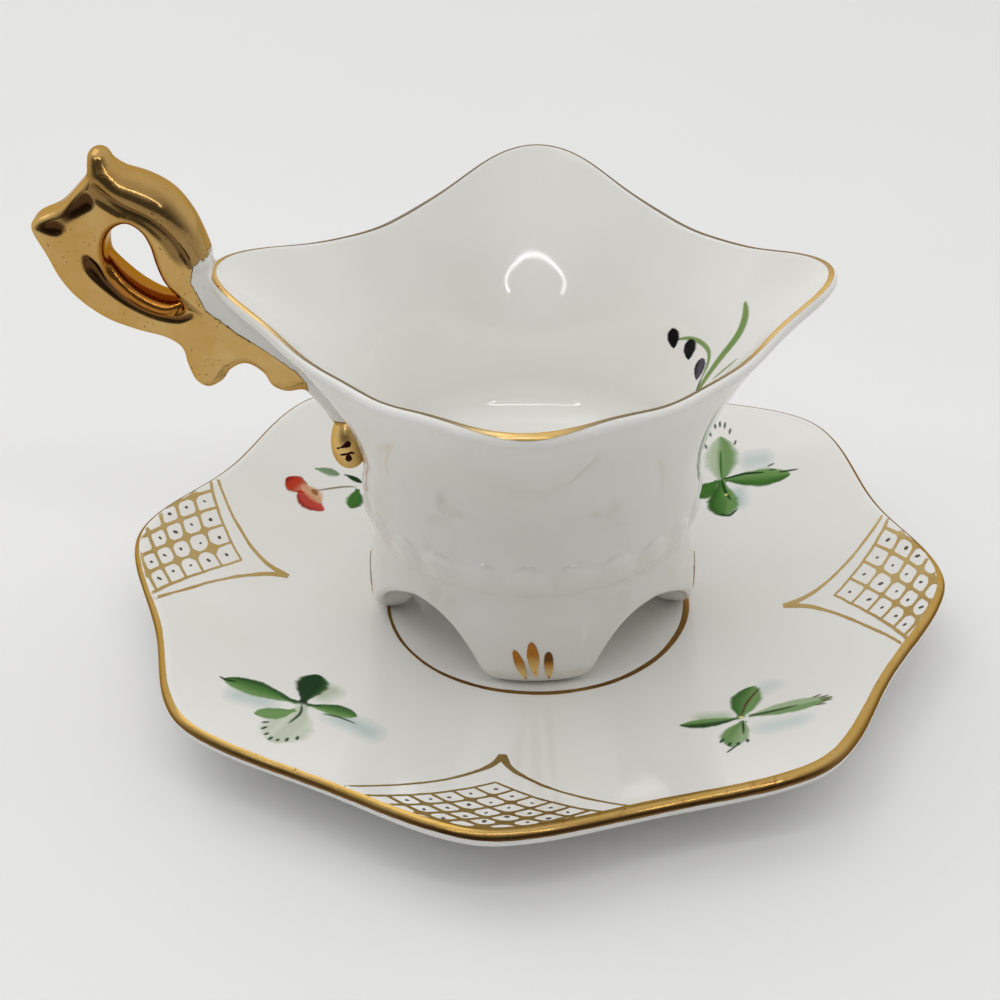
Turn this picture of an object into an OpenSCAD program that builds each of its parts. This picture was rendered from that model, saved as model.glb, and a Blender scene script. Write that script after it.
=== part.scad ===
// Footed demitasse teacup with four drawn-out lip corners, on a wavy eight-sided saucer.
// Millimetres, +Z up. The origin is the saucer's centre on the table, and the handle points along -X.

/* [Saucer] */
// Mean radius of the wavy rim
saucer_r = 58.5; // [54:0.5:70]
// How far the rim's eight corners stand out from its mean radius
rim_wave = 2.4; // [0:0.1:3.5]
// Height of the rim's top above the table
rim_h = 11.6; // [9:0.1:16]
// How far the rim's corners rise above its mean height
rim_lift = 0.6; // [0:0.1:1.5]
// Height of the flat well floor above the table
well_h = 4; // [3.6:0.1:6]
// Thickness of the saucer's wall
saucer_wall = 2.4; // [1.8:0.1:3]
// How late the dish turns up towards its rim
dish_power = 1.9; // [1.4:0.1:2.6]
// Turn of the saucer under the cup, in degrees
saucer_turn = -4.7; // [-22:0.1:22]
// Width of the saucer's foot ring where it meets the dish
foot_ring_w = 3; // [2:0.1:5]
// Outer radius of the saucer's foot ring
foot_ring_r = 27; // [25:0.5:34]
// How much narrower each side of the foot ring is where it stands
foot_ring_taper = 0.5; // [0:0.1:0.8]

/* [Cup] */
// Radius of the cup's waist
body_r = 24.2; // [22:0.1:27]
// Mean radius of the lip
lip_r = 36.6; // [33:0.1:42]
// How far the lip's four corners stand out from its mean radius
lip_corner = 4.7; // [2:0.1:6]
// How pointed those corners are
lip_point = 1.3; // [0:0.1:2]
// How much shorter the corner opposite the handle is
far_short = 2.4; // [0:0.1:4]
// Mean height of the lip above the soles
lip_h = 51.8; // [46:0.1:64]
// How far the lip's corners rise above its mean height
lip_lift = 2.6; // [0:0.1:4]
// How late the wall flares out towards the lip
flare_power = 1.6; // [1.2:0.05:2.4]
// Thickness of the cup's wall
wall = 2.2; // [1.6:0.1:3]
// Thickness of the wall at the lip
lip_wall = 1.6; // [1.2:0.1:2.4]
// Thickness of the cup's floor
floor_t = 3.6; // [2:0.1:6]
// Fillet between the cup's floor and its wall
floor_fillet = 6; // [2:0.5:10]
// Height of the lobed bead around the bottom of the bowl
bead_h = 10.4; // [6:0.1:14]
// How far the bead stands out from the waist
bead_out = 1.1; // [0.4:0.1:2]
// Number of lobes in the bead
lobes = 24; // [12:12:48]
// Depth of the furrows between the lobes
lobe_depth = 0.5; // [0:0.05:0.8]

/* [Feet] */
// Height of a foot from its sole to the apron
foot_h = 11.4; // [8:0.1:16]
// Height of the apron between the feet and the bowl
apron_h = 5.2; // [3.5:0.1:8]
// How far the groove above the apron lies inside the waist
groove_in = 1.4; // [0.5:0.1:2.5]
// How far the apron's lower edge stands out from the groove
apron_flare = 0.8; // [0.2:0.1:2]
// Thickness of the apron's wall
apron_wall = 5.6; // [5.6:0.1:7]
// How far a toe stands out from the apron's lower edge
toe_out = 0.6; // [0.3:0.1:2]
// How far back the rounding under the toe goes
toe_round = 4; // [2:0.1:4]
// Height of the rounding under the toe
toe_high = 6; // [3:0.1:8]
// How far forward the rounding under the heel goes
heel_round = 1.5; // [0.4:0.1:1.5]
// Height of the rounding under the heel
heel_high = 2.4; // [1:0.1:4]
// Turn of the feet from the handle's line, in degrees
foot_turn = 3; // [0:0.5:45]
// Half the angle that a foot takes up where it meets the apron
foot_half = 25; // [20:1:35]
// Half the angle that a foot takes up at its ankle
ankle_half = 18; // [10:1:20]
// Rise of the arches between the feet
arch_rise = 1.8; // [0.5:0.1:3]

/* [Handle] */
// How far the handle reaches beyond the lip's corner
handle_reach = 23.8; // [16:0.1:32]
// How far the handle rises above the lip's corner
handle_rise = 17.8; // [12:0.1:24]
// How far the handle hangs below the lip's corner
handle_drop = 16; // [13:0.1:18]
// How far the handle's tail runs in under the lip's corner
tail_reach = 8.6; // [7:0.1:10]
// Thickness of the handle, across its scroll
handle_t = 6.6; // [5:0.1:9]
// Thickness of the scroll rods, seen from the side
rod_d = 4.6; // [3.6:0.1:5.4]
// Height of the knob at the handle's lower end
knob_h = 9.5; // [6:0.1:12]
// Thickness of that knob, seen from the side
knob_d = 5.4; // [4:0.1:7]
// How far the knob stands out from the bead
knob_out = 3.5; // [2:0.1:4]

/* [Gilding] */
// Modelled thickness of the gold layer
gilt = 0.15; // [0.1:0.01:0.3]
// Width of the gold band on the top of the saucer's rim
rim_band = 0.8; // [0.5:0.1:3]
// Width of the gold ring around the well
ring_w = 0.9; // [0.4:0.1:2]
// Bare floor between the soles and the gold ring
ring_gap = 1.8; // [0.2:0.1:3]
// Bare floor outside the gold ring
ring_margin = 0.5; // [0.2:0.1:2]
// Length of the middle claw on each foot
claw_l = 6.4; // [4:0.1:8]
// Width of a claw
claw_w = 1.5; // [0.8:0.1:2]
// How far a claw stands out from the foot
claw_proud = 0.24; // [0.15:0.01:0.4]
// Bare foot between the middle claw and the apron
claw_gap = 0.8; // [0.4:0.1:2]

/* [Hidden] */

porcelain = "whitesmoke";
gold = "goldenrod";
around = 96;
apron_around = 72;
$fn = 96;

// Heights of the cup's levels above the table
sole_z = well_h;
pad_z = sole_z + foot_h;
base_z = pad_z + apron_h;
floor_z = base_z + floor_t;
bead_mid = base_z + bead_h / 2;
bead_top = base_z + bead_h;
lip_z = sole_z + lip_h;

// Radii of the groove, the apron and the feet
groove_r = body_r - groove_in;
apron_r = groove_r + apron_flare;
apron_in = apron_r - apron_wall;
toe_r = apron_r + toe_out;
sole_r = toe_r - toe_round;

// The well: the soles, then the gold ring, then a bare margin
ring_r = sole_r + ring_gap;
well_r = ring_r + ring_w + ring_margin;
under_z = well_h - saucer_wall;
under_margin = 1;
under_flat_r = foot_ring_r + under_margin;
edge_r = saucer_wall / 2;

// Curves that keep their shape when the sizes change
far_focus = 8;
apron_curve = 1.5;
ankle_curve = 3;
toe_narrowing = 0.5;
foot_squareness = 0.45;
sole_crowding = 1.6;
slope_step = 0.01;

// Solids from rings of points. Each ring runs anticlockwise seen from above, and the rings run
// up the outside and down the inside.
function flatten(rings) = [for (r = rings) each r];
function quads(a, b, n, back = false) = [
    for (i = [0 : n - 1])
        let (j = (i + 1) % n)
        each back
            ? [[a + i, b + i, a + j], [b + i, b + j, a + j]]
            : [[a + i, b + i, b + j], [a + i, b + j, a + j]]
];
function middle(ring) = [for (k = [0 : 2]) [for (p = ring) p[k]] * [for (p = ring) 1 / len(ring)]];

// A solid whose first and last rings are closed by flat fans
module capped(rings) {
    n = len(rings[0]);
    last = (len(rings) - 1) * n;
    first_mid = len(rings) * n;
    last_mid = first_mid + 1;
    points = concat(flatten(rings), [middle(rings[0]), middle(rings[len(rings) - 1])]);
    sides = [for (k = [0 : len(rings) - 2]) each quads(k * n, (k + 1) * n, n)];
    first_cap = [for (i = [0 : n - 1]) [i, (i + 1) % n, first_mid]];
    last_cap = [for (i = [0 : n - 1]) [last + (i + 1) % n, last + i, last_mid]];
    polyhedron(points, concat(sides, first_cap, last_cap));
}

// A hoop whose last ring joins its first
module hoop(rings) {
    n = len(rings[0]);
    count = len(rings);
    polyhedron(
        flatten(rings),
        [for (k = [0 : count - 1]) each quads(k * n, ((k + 1) % count) * n, n)]
    );
}

// A layer on rings of another solid. Its under side is split into the same triangles as that solid.
module layer(top_rings, under_rings) {
    n = len(top_rings[0]);
    count = len(top_rings);
    tops = [for (k = [0 : count - 1]) k * n];
    unders = [for (k = [0 : count - 1]) (count + k) * n];
    last = count - 1;
    polyhedron(flatten(concat(top_rings, under_rings)), concat(
        [for (k = [1 : last]) each quads(tops[k - 1], tops[k], n)],
        [for (k = [1 : last]) each quads(unders[k], unders[k - 1], n, true)],
        quads(tops[last], unders[last], n),
        quads(unders[0], tops[0], n)
    ));
}

// A ring of points from a profile that gives [radius, height] at an angle
function turned(profile, n = around) = [
    for (i = [0 : n - 1])
        let (a = 360 * i / n, p = profile(a))
        [p[0] * cos(a), p[0] * sin(a), p[1]]
];

// Saucer

function rim_radius(a) = saucer_r + rim_wave * cos(8 * a);
function rim_height(a) = rim_h + rim_lift * cos(8 * a);
function dish_top(a, q) = [
    well_r + (rim_radius(a) - edge_r - well_r) * q,
    well_h + (rim_height(a) - well_h) * pow(q, dish_power)
];
function dish_under(a, q) = [
    under_flat_r + (rim_radius(a) - edge_r - under_flat_r) * q,
    under_z + (rim_height(a) - well_h) * pow(q, dish_power)
];
// The half-round edge at angle b, from 90 on top to -90 below, with a layer on it
function dish_edge(a, b, layer = 0) = [
    rim_radius(a) - edge_r + (edge_r + layer) * cos(b),
    rim_height(a) - edge_r + (edge_r + layer) * sin(b)
];
// Where the gold band begins on the top of the rim, as a share of the way out
function band_share(a) = 1 - rim_band / (rim_radius(a) - edge_r - well_r);
function band_start(a, layer = 0) = dish_top(a, band_share(a)) + [0, layer];
function band_rings(layer = 0) = concat(
    [for (b = [-45 : 45 : 90]) turned(function (a) dish_edge(a, b, layer))],
    [turned(function (a) band_start(a, layer))]
);

module saucer_dish() {
    color(porcelain) rotate(saucer_turn) capped(concat(
        [for (q = [0 : 0.25 : 1]) turned(function (a) dish_under(a, q))],
        band_rings(),
        [for (k = [1 : 6]) turned(function (a) dish_top(a, 1 - k / 6))]
    ));
}

module saucer_foot_ring() {
    inner_r = foot_ring_r - foot_ring_w;
    color(porcelain) rotate_extrude() polygon([
        [inner_r + foot_ring_taper, 0],
        [foot_ring_r - foot_ring_taper, 0],
        [foot_ring_r, under_z],
        [inner_r, under_z]
    ]);
}

module saucer_rim_gilding() {
    color(gold) rotate(saucer_turn) layer(band_rings(gilt), band_rings());
}

module well_ring_gilding() {
    color(gold) rotate_extrude() translate([ring_r, well_h]) square([ring_w, gilt]);
}

// Cup

function lip_radius(a) =
    lip_r + lip_corner * cos(4 * a) + lip_point * cos(8 * a) - far_short * pow(max(cos(a), 0), far_focus);
function lip_height(a) = lip_z + lip_lift * cos(4 * a);
// The lobed bead at height t, from -1 at the groove to 1 at the waist. It swells in and out like a wave.
function bead(a, t) =
    let (from_r = t < 0 ? groove_r : body_r)
    let (furrow = lobe_depth * (1 - cos(lobes * a)) / 2)
    [
        from_r + (body_r + bead_out - furrow - from_r) * (1 + cos(180 * t)) / 2,
        bead_mid + bead_h / 2 * t
    ];
// The outside of the wall, from the waist at 0 to the lip at 1
function flare(a, s) = [
    body_r + (lip_radius(a) - body_r) * pow(s, flare_power),
    bead_top + (lip_height(a) - bead_top) * s
];
function flare_along(a, s) =
    let (d = flare(a, s + slope_step) - flare(a, max(s - slope_step, 0)))
    d / norm(d);
function flare_out(a, s) = let (d = flare_along(a, s)) [d[1], -d[0]];
// The half-round lip at angle b, from 0 outside to 180 inside, with a layer on it
function lip(a, b, layer = 0) =
    let (out = flare_out(a, 1), along = flare_along(a, 1))
    flare(a, 1) - out * lip_wall / 2 + (lip_wall / 2 + layer) * (out * cos(b) + along * sin(b));
function inside(a, s) = flare(a, s) - flare_out(a, s) * (wall + (lip_wall - wall) * s);
function floor_corner(b) = [
    body_r - wall - floor_fillet * (1 - cos(b)),
    floor_z + floor_fillet * (1 - sin(b))
];

function lip_rings(layer = 0) = [for (b = [60 : 30 : 120]) turned(function (a) lip(a, b, layer))];

flare_shares = [0 : 1 / 6 : 1];
outside_rings = concat(
    [turned(function (a) [groove_r, base_z])],
    [for (t = [-0.7, -0.4, 0, 0.4, 0.7]) turned(function (a) bead(a, t))],
    [for (s = flare_shares) turned(function (a) flare(a, s))]
);

module cup_bowl() {
    color(porcelain) capped(concat(
        outside_rings,
        lip_rings(),
        [for (s = flare_shares) turned(function (a) inside(a, 1 - s))],
        [for (b = [0 : 30 : 90]) turned(function (a) floor_corner(b))]
    ));
}

// The bowl's outer form with its gilded lip and no hollow, for what is luted onto it
module bowl_form() {
    capped(concat(
        outside_rings,
        [lip_rings()[0]],
        lip_rings(gilt),
        [lip_rings()[2]]
    ));
}

module lip_gilding() {
    color(gold) layer(lip_rings(gilt), lip_rings());
}

// Apron and feet

// Angle from the nearest foot's axis, 0 on a foot and 45 in the middle of an arch
function from_foot(a) = abs((a + 45) % 90 - 45);
function arch_z(a) =
    let (d = max(from_foot(a) - foot_half, 0))
    pad_z + arch_rise * sin(90 * d / (45 - foot_half));
function apron_outside(a, v) =
    let (low = arch_z(a), z = low + (base_z - low) * v)
    [groove_r + apron_flare * pow((base_z - z) / apron_h, apron_curve), z];

module foot_apron() {
    shares = [0 : 0.25 : 1];
    color(porcelain) rotate(foot_turn) hoop(concat(
        [for (v = shares) turned(function (a) apron_outside(a, v), apron_around)],
        [turned(function (a) [apron_in, base_z], apron_around)],
        [turned(function (a) [apron_in, arch_z(a)], apron_around)]
    ));
}

// How much a rounding of some height takes off at height z above the sole, from 0 to 1
function under_round(z, high) =
    let (k = max(1 - z / high, 0))
    1 - sqrt(1 - k * k);
// The foot's front and back at height z above its sole
function toe_front(z) =
    apron_r + toe_out * sin(180 * min((foot_h - z) / foot_h, 0.5)) - toe_round * under_round(z, toe_high);
function heel_back(z) = apron_in + heel_round * under_round(z, heel_high);
function foot_angle(z) =
    ankle_half * (1 - toe_narrowing * under_round(z, toe_high))
    + (foot_half - ankle_half) * pow(z / foot_h, ankle_curve);
function rounded(v) = sign(v) * pow(abs(v), foot_squareness);
function foot_section(z) = [
    for (b = [0 : 18 : 342])
        let (r_mid = (toe_front(z) + heel_back(z)) / 2, r_half = (toe_front(z) - heel_back(z)) / 2)
        let (r = r_mid + r_half * rounded(cos(b)), a = foot_angle(z) * rounded(sin(b)))
        [r * cos(a), r * sin(a), sole_z + z]
];
foot_levels = [for (k = [0 : 7]) foot_h * pow(k / 7, sole_crowding)];

module foot_form() {
    capped([for (z = foot_levels) foot_section(z)]);
}

module foot(angle) {
    color(porcelain) rotate(foot_turn + angle) foot_form();
}

// Three claw strokes on the front of each foot, the middle one longest. Along a claw its balls are
// [share of the length, share of the width].
claw_balls = [[0, 0.6], [0.6, 1], [1, 0.5]];
claw_step = 5;
side_claw = 0.85;

module claw(long) {
    low = foot_h - claw_gap - claw_l;
    hull() for (ball = claw_balls) {
        half = ball[1] * claw_w / 2;
        z = low + ball[0] * long;
        translate([toe_front(z) + claw_proud - half, 0, sole_z + z]) sphere(half, $fn = 10);
    }
}

module claw_gilding() {
    color(gold) for (foot_a = [0 : 90 : 270], side = [-1 : 1]) rotate(foot_turn + foot_a) difference() {
        rotate(side * claw_step) claw(side == 0 ? claw_l : claw_l * side_claw);
        foot_form();
    }
}

// Handle

// Rods are chains of balls, and plates are hulls of them. A ball is [out, up, radius], drawn from the lip's
// corner. Out is a share of the reach, or of the tail's reach where it is below zero. Up is a share of the
// rise, or of the drop where it is below zero. The radius is a share of half the rods' thickness.
scroll_rod = [[0.05, 0.11, 0.85], [0.13, 0.3, 1], [0.22, 0.49, 1.16], [0.33, 0.62, 1.2], [0.46, 0.71, 1.15],
    [0.55, 0.82, 1], [0.58, 0.94, 0.64]];
loop_rod = [[0.55, 0.65, 0.95], [0.71, 0.5, 1.15], [0.79, 0.29, 1.3], [0.77, 0.09, 1.35], [0.66, -0.18, 1.22],
    [0.5, -0.37, 0.98], [0.39, -0.46, 0.9], [0.22, -0.6, 0.95], [0.13, -0.7, 1]];
inner_rod = [[0.6, 0.52, 0.95], [0.46, 0.5, 0.95], [0.3, 0.37, 0.9], [0.23, 0.13, 0.85], [0.19, -0.09, 0.9],
    [0.15, -0.32, 0.95], [0.13, -0.52, 1], [0.13, -0.7, 1]];
lobe_rod = [[0.13, -0.7, 1.05], [0.09, -0.93, 0.95]];
tail_rod = [[0.13, -0.7, 1], [-0.26, -0.74, 0.82], [-0.7, -0.84, 0.78], [-1, -0.98, 0.88]];
spur_plate = [[0.71, 0.5, 1.05], [0.98, 0.45, 0.36], [0.77, 0.09, 1.35]];
crown_plate = [[0.55, 0.81, 0.85], [0.45, 0.69, 0.9], [0.46, 0.5, 0.9], [0.71, 0.5, 1]];
thumb_plate = [[0.13, 0.3, 0.8], [0.22, 0.49, 0.9], [0.3, 0.37, 0.85], [0.23, 0.13, 0.85]];
throat_plate = [[0.18, -0.17, 0.85], [0.13, -0.52, 0.9], [0.22, -0.6, 0.9], [0.3, -0.51, 0.85]];

corner_a = 180;
corner = flare(corner_a, 1);
function drawn(p) = [
    -(corner[0] + p[0] * (p[0] > 0 ? handle_reach : tail_reach)),
    0,
    corner[1] + p[1] * (p[1] > 0 ? handle_rise : handle_drop)
];
function on_ridge(s, out) = let (p = flare(corner_a, s) + flare_out(corner_a, s) * out) [-p[0], 0, p[1]];

module rod(points, radii) {
    for (i = [0 : len(points) - 2]) hull() for (k = [i, i + 1])
        translate(points[k]) sphere(radii[k], $fn = 14);
}
module drawn_rod(list) {
    rod([for (p = list) drawn(p)], [for (p = list) p[2] * rod_d / 2]);
}
module drawn_plate(list) {
    hull() for (p = list) translate(drawn(p)) sphere(p[2] * rod_d / 2, $fn = 14);
}

// The white stem that joins the scroll to the bowl and runs down its ridge. Along the stem its balls are
// [share of the way up the flare, distance out from it as a share of the rods' thickness].
stem_balls = [[0.98, 0.43], [0.86, 0.65], [0.74, 0.65], [0.62, 0.52], [0.5, 0.35], [0.38, 0.22], [0.28, 0.13],
    [0.2, 0.09]];
stem_foot = 0.42;
stem_swell = 0.2;

module stem_form() {
    rod(
        [for (ball = stem_balls) on_ridge(ball[0], ball[1] * rod_d)],
        [for (ball = stem_balls) rod_d * (stem_foot + stem_swell * ball[0])]
    );
}

// The gilded knob at the stem's lower end, an egg that stands over the top of the bead
knob_steps = 9;
knob_taper = 0.85;

module knob_form() {
    shares = [for (k = [0 : knob_steps]) 2 * k / knob_steps - 1];
    radii = [for (t = shares) knob_d / 2 * sqrt(1 - pow(knob_taper * t, 2))];
    knob_x = -(body_r + bead_out + knob_out - knob_d / 2);
    half = knob_h / 2 - radii[0];
    rod([for (t = shares) [knob_x, 0, bead_top + half * t]], radii);
}

module thickened() {
    scale([1, handle_t / rod_d, 1]) children();
}

module handle_root() {
    color(porcelain) difference() {
        thickened() stem_form();
        bowl_form();
        thickened() knob_form();
    }
}

module handle_scroll() {
    color(gold) difference() {
        thickened() {
            for (list = [scroll_rod, loop_rod, inner_rod, lobe_rod, tail_rod]) drawn_rod(list);
            for (list = [spur_plate, crown_plate, thumb_plate, throat_plate]) drawn_plate(list);
        }
        bowl_form();
        thickened() stem_form();
    }
}

module handle_knob() {
    color(gold) difference() {
        thickened() knob_form();
        bowl_form();
    }
}

saucer_dish();
saucer_foot_ring();
saucer_rim_gilding();
well_ring_gilding();
cup_bowl();
foot_apron();
foot(270);  // foot_front
foot(0);  // foot_right
foot(90);  // foot_back
foot(180);  // foot_left
handle_root();
handle_scroll();
handle_knob();
lip_gilding();
claw_gilding();
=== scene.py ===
"""The looks of a footed demitasse teacup and saucer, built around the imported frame.

Shapes are worked out in millimetres in the frame's own axes, and become metres when a mesh is made.
The handle points along -X, and the camera looks along +Y.
"""
import math
from functools import reduce

import bpy
import numpy as np
from mathutils import Matrix, Vector


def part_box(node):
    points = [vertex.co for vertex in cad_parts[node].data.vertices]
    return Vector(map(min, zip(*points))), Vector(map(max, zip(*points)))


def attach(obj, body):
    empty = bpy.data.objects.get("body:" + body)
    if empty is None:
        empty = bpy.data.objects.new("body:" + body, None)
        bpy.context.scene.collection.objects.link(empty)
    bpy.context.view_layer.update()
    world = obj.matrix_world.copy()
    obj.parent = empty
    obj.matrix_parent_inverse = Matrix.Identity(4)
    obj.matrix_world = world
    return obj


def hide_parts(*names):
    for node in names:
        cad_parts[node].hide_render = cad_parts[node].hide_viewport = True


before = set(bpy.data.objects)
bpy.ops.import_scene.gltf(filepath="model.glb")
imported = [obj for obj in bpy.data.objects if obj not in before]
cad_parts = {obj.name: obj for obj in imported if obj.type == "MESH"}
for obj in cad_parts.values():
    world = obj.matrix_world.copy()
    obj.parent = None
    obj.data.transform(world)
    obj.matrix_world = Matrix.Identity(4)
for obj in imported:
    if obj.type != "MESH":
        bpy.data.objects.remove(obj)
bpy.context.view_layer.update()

MM = 0.001
TAU = 2 * math.pi
QUARTER = TAU / 4
EIGHTH = TAU / 8


def low(node):
    """A CAD node's lowest corner in millimetres."""
    return np.array(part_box(node)[0]) / MM


def high(node):
    """A CAD node's highest corner in millimetres."""
    return np.array(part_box(node)[1]) / MM


def node_radii(node):
    """The smallest and largest distance of a CAD node's points from the cup's axis."""
    points = np.array([v.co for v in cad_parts[node].data.vertices]) / MM
    radii = np.hypot(points[:, 0], points[:, 1])
    return radii.min(), radii.max()


# Levels and radii that the frame gives
well_z = low("foot_front")[2]
under_z = low("saucer_dish")[2]
base_z = low("cup_bowl")[2]
pad_z = low("foot_apron")[2]
rim_top = high("saucer_dish")[2]
rim_corner_r = node_radii("saucer_dish")[1]
ring_in, ring_out = node_radii("well_ring_gilding")
apron_in, apron_r = node_radii("foot_apron")
foot_ring_in, foot_ring_out = node_radii("saucer_foot_ring")

# Saucer
RIM_WAVE = 2.4
RIM_LIFT = 0.6
RIM_STRAIGHT = 0.4
RIM_CORNER_SOFT = 0.05
SAUCER_WALL = 2.4
DISH_POWER = 1.9
SAUCER_TURN = math.radians(-4.7)
TURN_COS = math.cos(SAUCER_TURN)
TURN_SIN = math.sin(SAUCER_TURN)
WELL_MARGIN = 0.5
UNDER_MARGIN = 1
saucer_r = rim_corner_r - RIM_WAVE
rim_h = rim_top - RIM_LIFT
edge_r = SAUCER_WALL / 2
well_r = ring_out + WELL_MARGIN
under_flat_r = foot_ring_out + UNDER_MARGIN

# Cup
BODY_R = 24.2
LIP_R = 37.4
LIP_CORNER = 4.7
LIP_POINT = 1.1
LIP_NIP = 0.4
FAR_SHORT = 2.6
FAR_FOCUS = 8
LIP_LIFT = 2.3
LIP_PEAK = 0.3
LIP_H = 51.1
FLARE_POWER = 1.6
WALL = 2.2
LIP_WALL = 1.6
FLOOR_T = 3.6
FLOOR_FILLET = 6
BEAD_H = 10.4
LOBES = 24
LOBE_PROUD = 0.6
LOBE_TOP = 6.2
LOBE_DOME = 1.4
LOBE_SHOULDER = 2.2
LOBE_SCALLOP = 1.5
LOBE_BETWEEN = 0.35
LOBE_FULL = 0.7
LOBE_FADE = 4
UNDER_CURVE = 6.5
UNDER_POWER = 2.2
GROOVE_IN = 1.4
groove_r = BODY_R - GROOVE_IN
bead_top = base_z + BEAD_H
lobe_top = base_z + LOBE_TOP
floor_z = base_z + FLOOR_T
lip_z = well_z + LIP_H

# Feet
TOE_OUT = 0.6
TOE_ROUND = 2.6
TOE_HIGH = 4.5
HEEL_ROUND = 3.2
HEEL_HIGH = 5.5
FOOT_TURN = math.radians(3)
FOOT_OVAL = 0.05
APRON_CURVE = 1.5
FOOT_BACK = 1.2
# Each arch leans: steep and narrow towards the front and back feet, long and slack towards the side feet
ARCH_HALF = 11.0
ARCH_ROUND = 2.5
ARCH_SLACK_HALF = 14.0
ARCH_SLACK_ROUND = 1.5
ARCH_RISE = 12.1
ARCH_TILT = 1.0
ARCH_STEEP = 1.4
ARCH_EDGE = 1.0
SOLE_EDGE = 3.0
SEAM_OVERLAP = 1.5
SEAM_ROUND = 1.2
SEAM_SLOPE = 0.4
SKIRT_BLEND = 0.8
foot_h = pad_z - well_z
apron_h = base_z - pad_z

# Handle: smooth outlines through (x, z) points, and rods through (x, z, radius) points
PLATE_OUTLINE = [(-56.8, 74.6), (-59.7, 71.6), (-62.8, 68.6), (-66.0, 67.0), (-66.9, 65.4), (-65.5, 61.8),
                 (-63.9, 57.8), (-61.6, 54.7), (-58.2, 52.0), (-54.2, 50.3), (-50.6, 49.2), (-48.5, 47.6),
                 (-47.9, 44.8), (-47.0, 42.4), (-45.2, 41.4), (-43.2, 42.4), (-41.8, 44.2), (-39.6, 45.1),
                 (-37.5, 43.7), (-36.3, 41.6), (-34.0, 40.7), (-31.4, 41.6), (-30.8, 43.8), (-35.4, 48.2),
                 (-39.6, 51.4), (-43.2, 55.0), (-44.4, 58.8), (-44.2, 62.4), (-45.2, 65.8), (-47.2, 68.6),
                 (-50.4, 70.8), (-53.8, 72.8)]
HOLE_OUTLINE = [(-53.9, 66.4), (-52.1, 65.3), (-51.1, 63.2), (-50.6, 60.6), (-49.8, 58.0), (-48.4, 55.8),
                (-47.6, 54.2), (-49.2, 53.5), (-51.6, 54.0), (-54.0, 55.7), (-55.9, 58.0), (-57.0, 60.8),
                (-57.0, 63.4), (-55.9, 65.5)]
SCROLL_ROD = [(-56.7, 75.0, 1.6), (-56.3, 73.3, 2.1), (-54.6, 71.4, 2.6), (-51.9, 70.1, 2.9),
              (-49.4, 68.5, 2.95), (-47.4, 66.0, 2.75), (-45.9, 63.2, 2.35), (-44.6, 60.6, 1.9)]
STEM_ROD = [(-44.0, 58.3, 1.9), (-42.4, 55.9, 2.5), (-39.8, 52.9, 2.8), (-36.9, 49.8, 2.7),
            (-34.0, 46.6, 2.5), (-31.2, 43.3, 2.3), (-28.7, 39.8, 2.1), (-26.9, 36.6, 1.9),
            (-26.0, 34.4, 1.6)]
ROLL_ROD = [(-58.2, 64.0, 0.2), (-57.8, 62.2, 0.7), (-57.2, 60.2, 1.1), (-55.8, 57.9, 1.4),
            (-53.9, 55.9, 1.5), (-51.6, 54.4, 1.5), (-49.4, 53.8, 1.4), (-47.5, 54.3, 0.9)]
PLATE_HALF = 3.0
PLATE_EDGE = 1.6
PLATE_CROWN = 0.35
CROWN_WIDTH = 1.4
SCROLL_SQUASH = 1.42
STEM_SQUASH = 1.15
ROLL_SQUASH = 2.1
HOLE_ROUND = 1.5
# Carved lines and hollows in both faces: how far their middles lie off the face, how much painted shade
# they take, and their paths
FACE_CUTS = [
    (1.0, 0.55, [(-58.6, 73.4, 0.9), (-56.9, 70.9, 1.3), (-54.2, 68.8, 1.3), (-51.0, 67.2, 1.3),
                 (-48.7, 65.0, 1.3), (-47.2, 62.2, 1.2), (-46.2, 60.2, 0.7)]),
    (0.1, 0.8, [(-57.4, 72.3, 0.35), (-56.0, 70.9, 0.5), (-53.6, 69.2, 0.6), (-50.5, 67.6, 0.6),
                (-48.1, 65.3, 0.6), (-46.5, 62.5, 0.55), (-45.7, 60.6, 0.3)]),
    (1.2, 1.0, [(-65.6, 66.7, 1.4), (-63.4, 66.4, 1.65), (-62.6, 66.9, 1.3)]),
    (1.3, 1.0, [(-62.4, 67.3, 1.35), (-60.4, 69.1, 1.75), (-58.9, 70.1, 1.85)]),
    (0.2, 0.95, [(-59.6, 61.7, 0.5), (-59.0, 60.3, 0.95), (-57.6, 58.0, 0.65), (-55.0, 55.3, 0.4),
                 (-51.6, 53.3, 0.35), (-48.4, 52.6, 0.4), (-46.4, 53.2, 0.3)]),
    (0.2, 0.6, [(-48.9, 56.4, 0.7), (-44.9, 53.4, 0.1)]),
]
CUT_BLEND = 0.4
SCROLL_BLEND = 0.5
ROLL_BLEND = 0.3
STEM_BLEND = 1.0
# Where the gilding ends and the white root begins
GOLD_EDGE = [(-42.6, 68.0), (-43.4, 61.6), (-45.4, 60.6), (-45.9, 58.1), (-44.3, 54.0), (-40.5, 50.7),
             (-36.6, 47.9), (-32.6, 44.6), (-31.2, 42.6), (-31.4, 36.0)]
KNOB_D = 5.4
KNOB_H = 8.9
KNOB_RISE = 1.2
KNOB_STAND = 4.6
KNOB_SQUASH = 1.43
KNOB_TAPER = 0.14

# Points round a turned piece
AROUND = 480
# Flat middles are closed by a fan inside this radius
FAN_R = 2
# Films of gold and paint reach this far into the glaze that carries them
FILM_SINK = 0.02


def smooth_step(low_edge, high_edge, value):
    t = np.clip((value - low_edge) / (high_edge - low_edge), 0, 1)
    return t * t * (3 - 2 * t)


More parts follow.
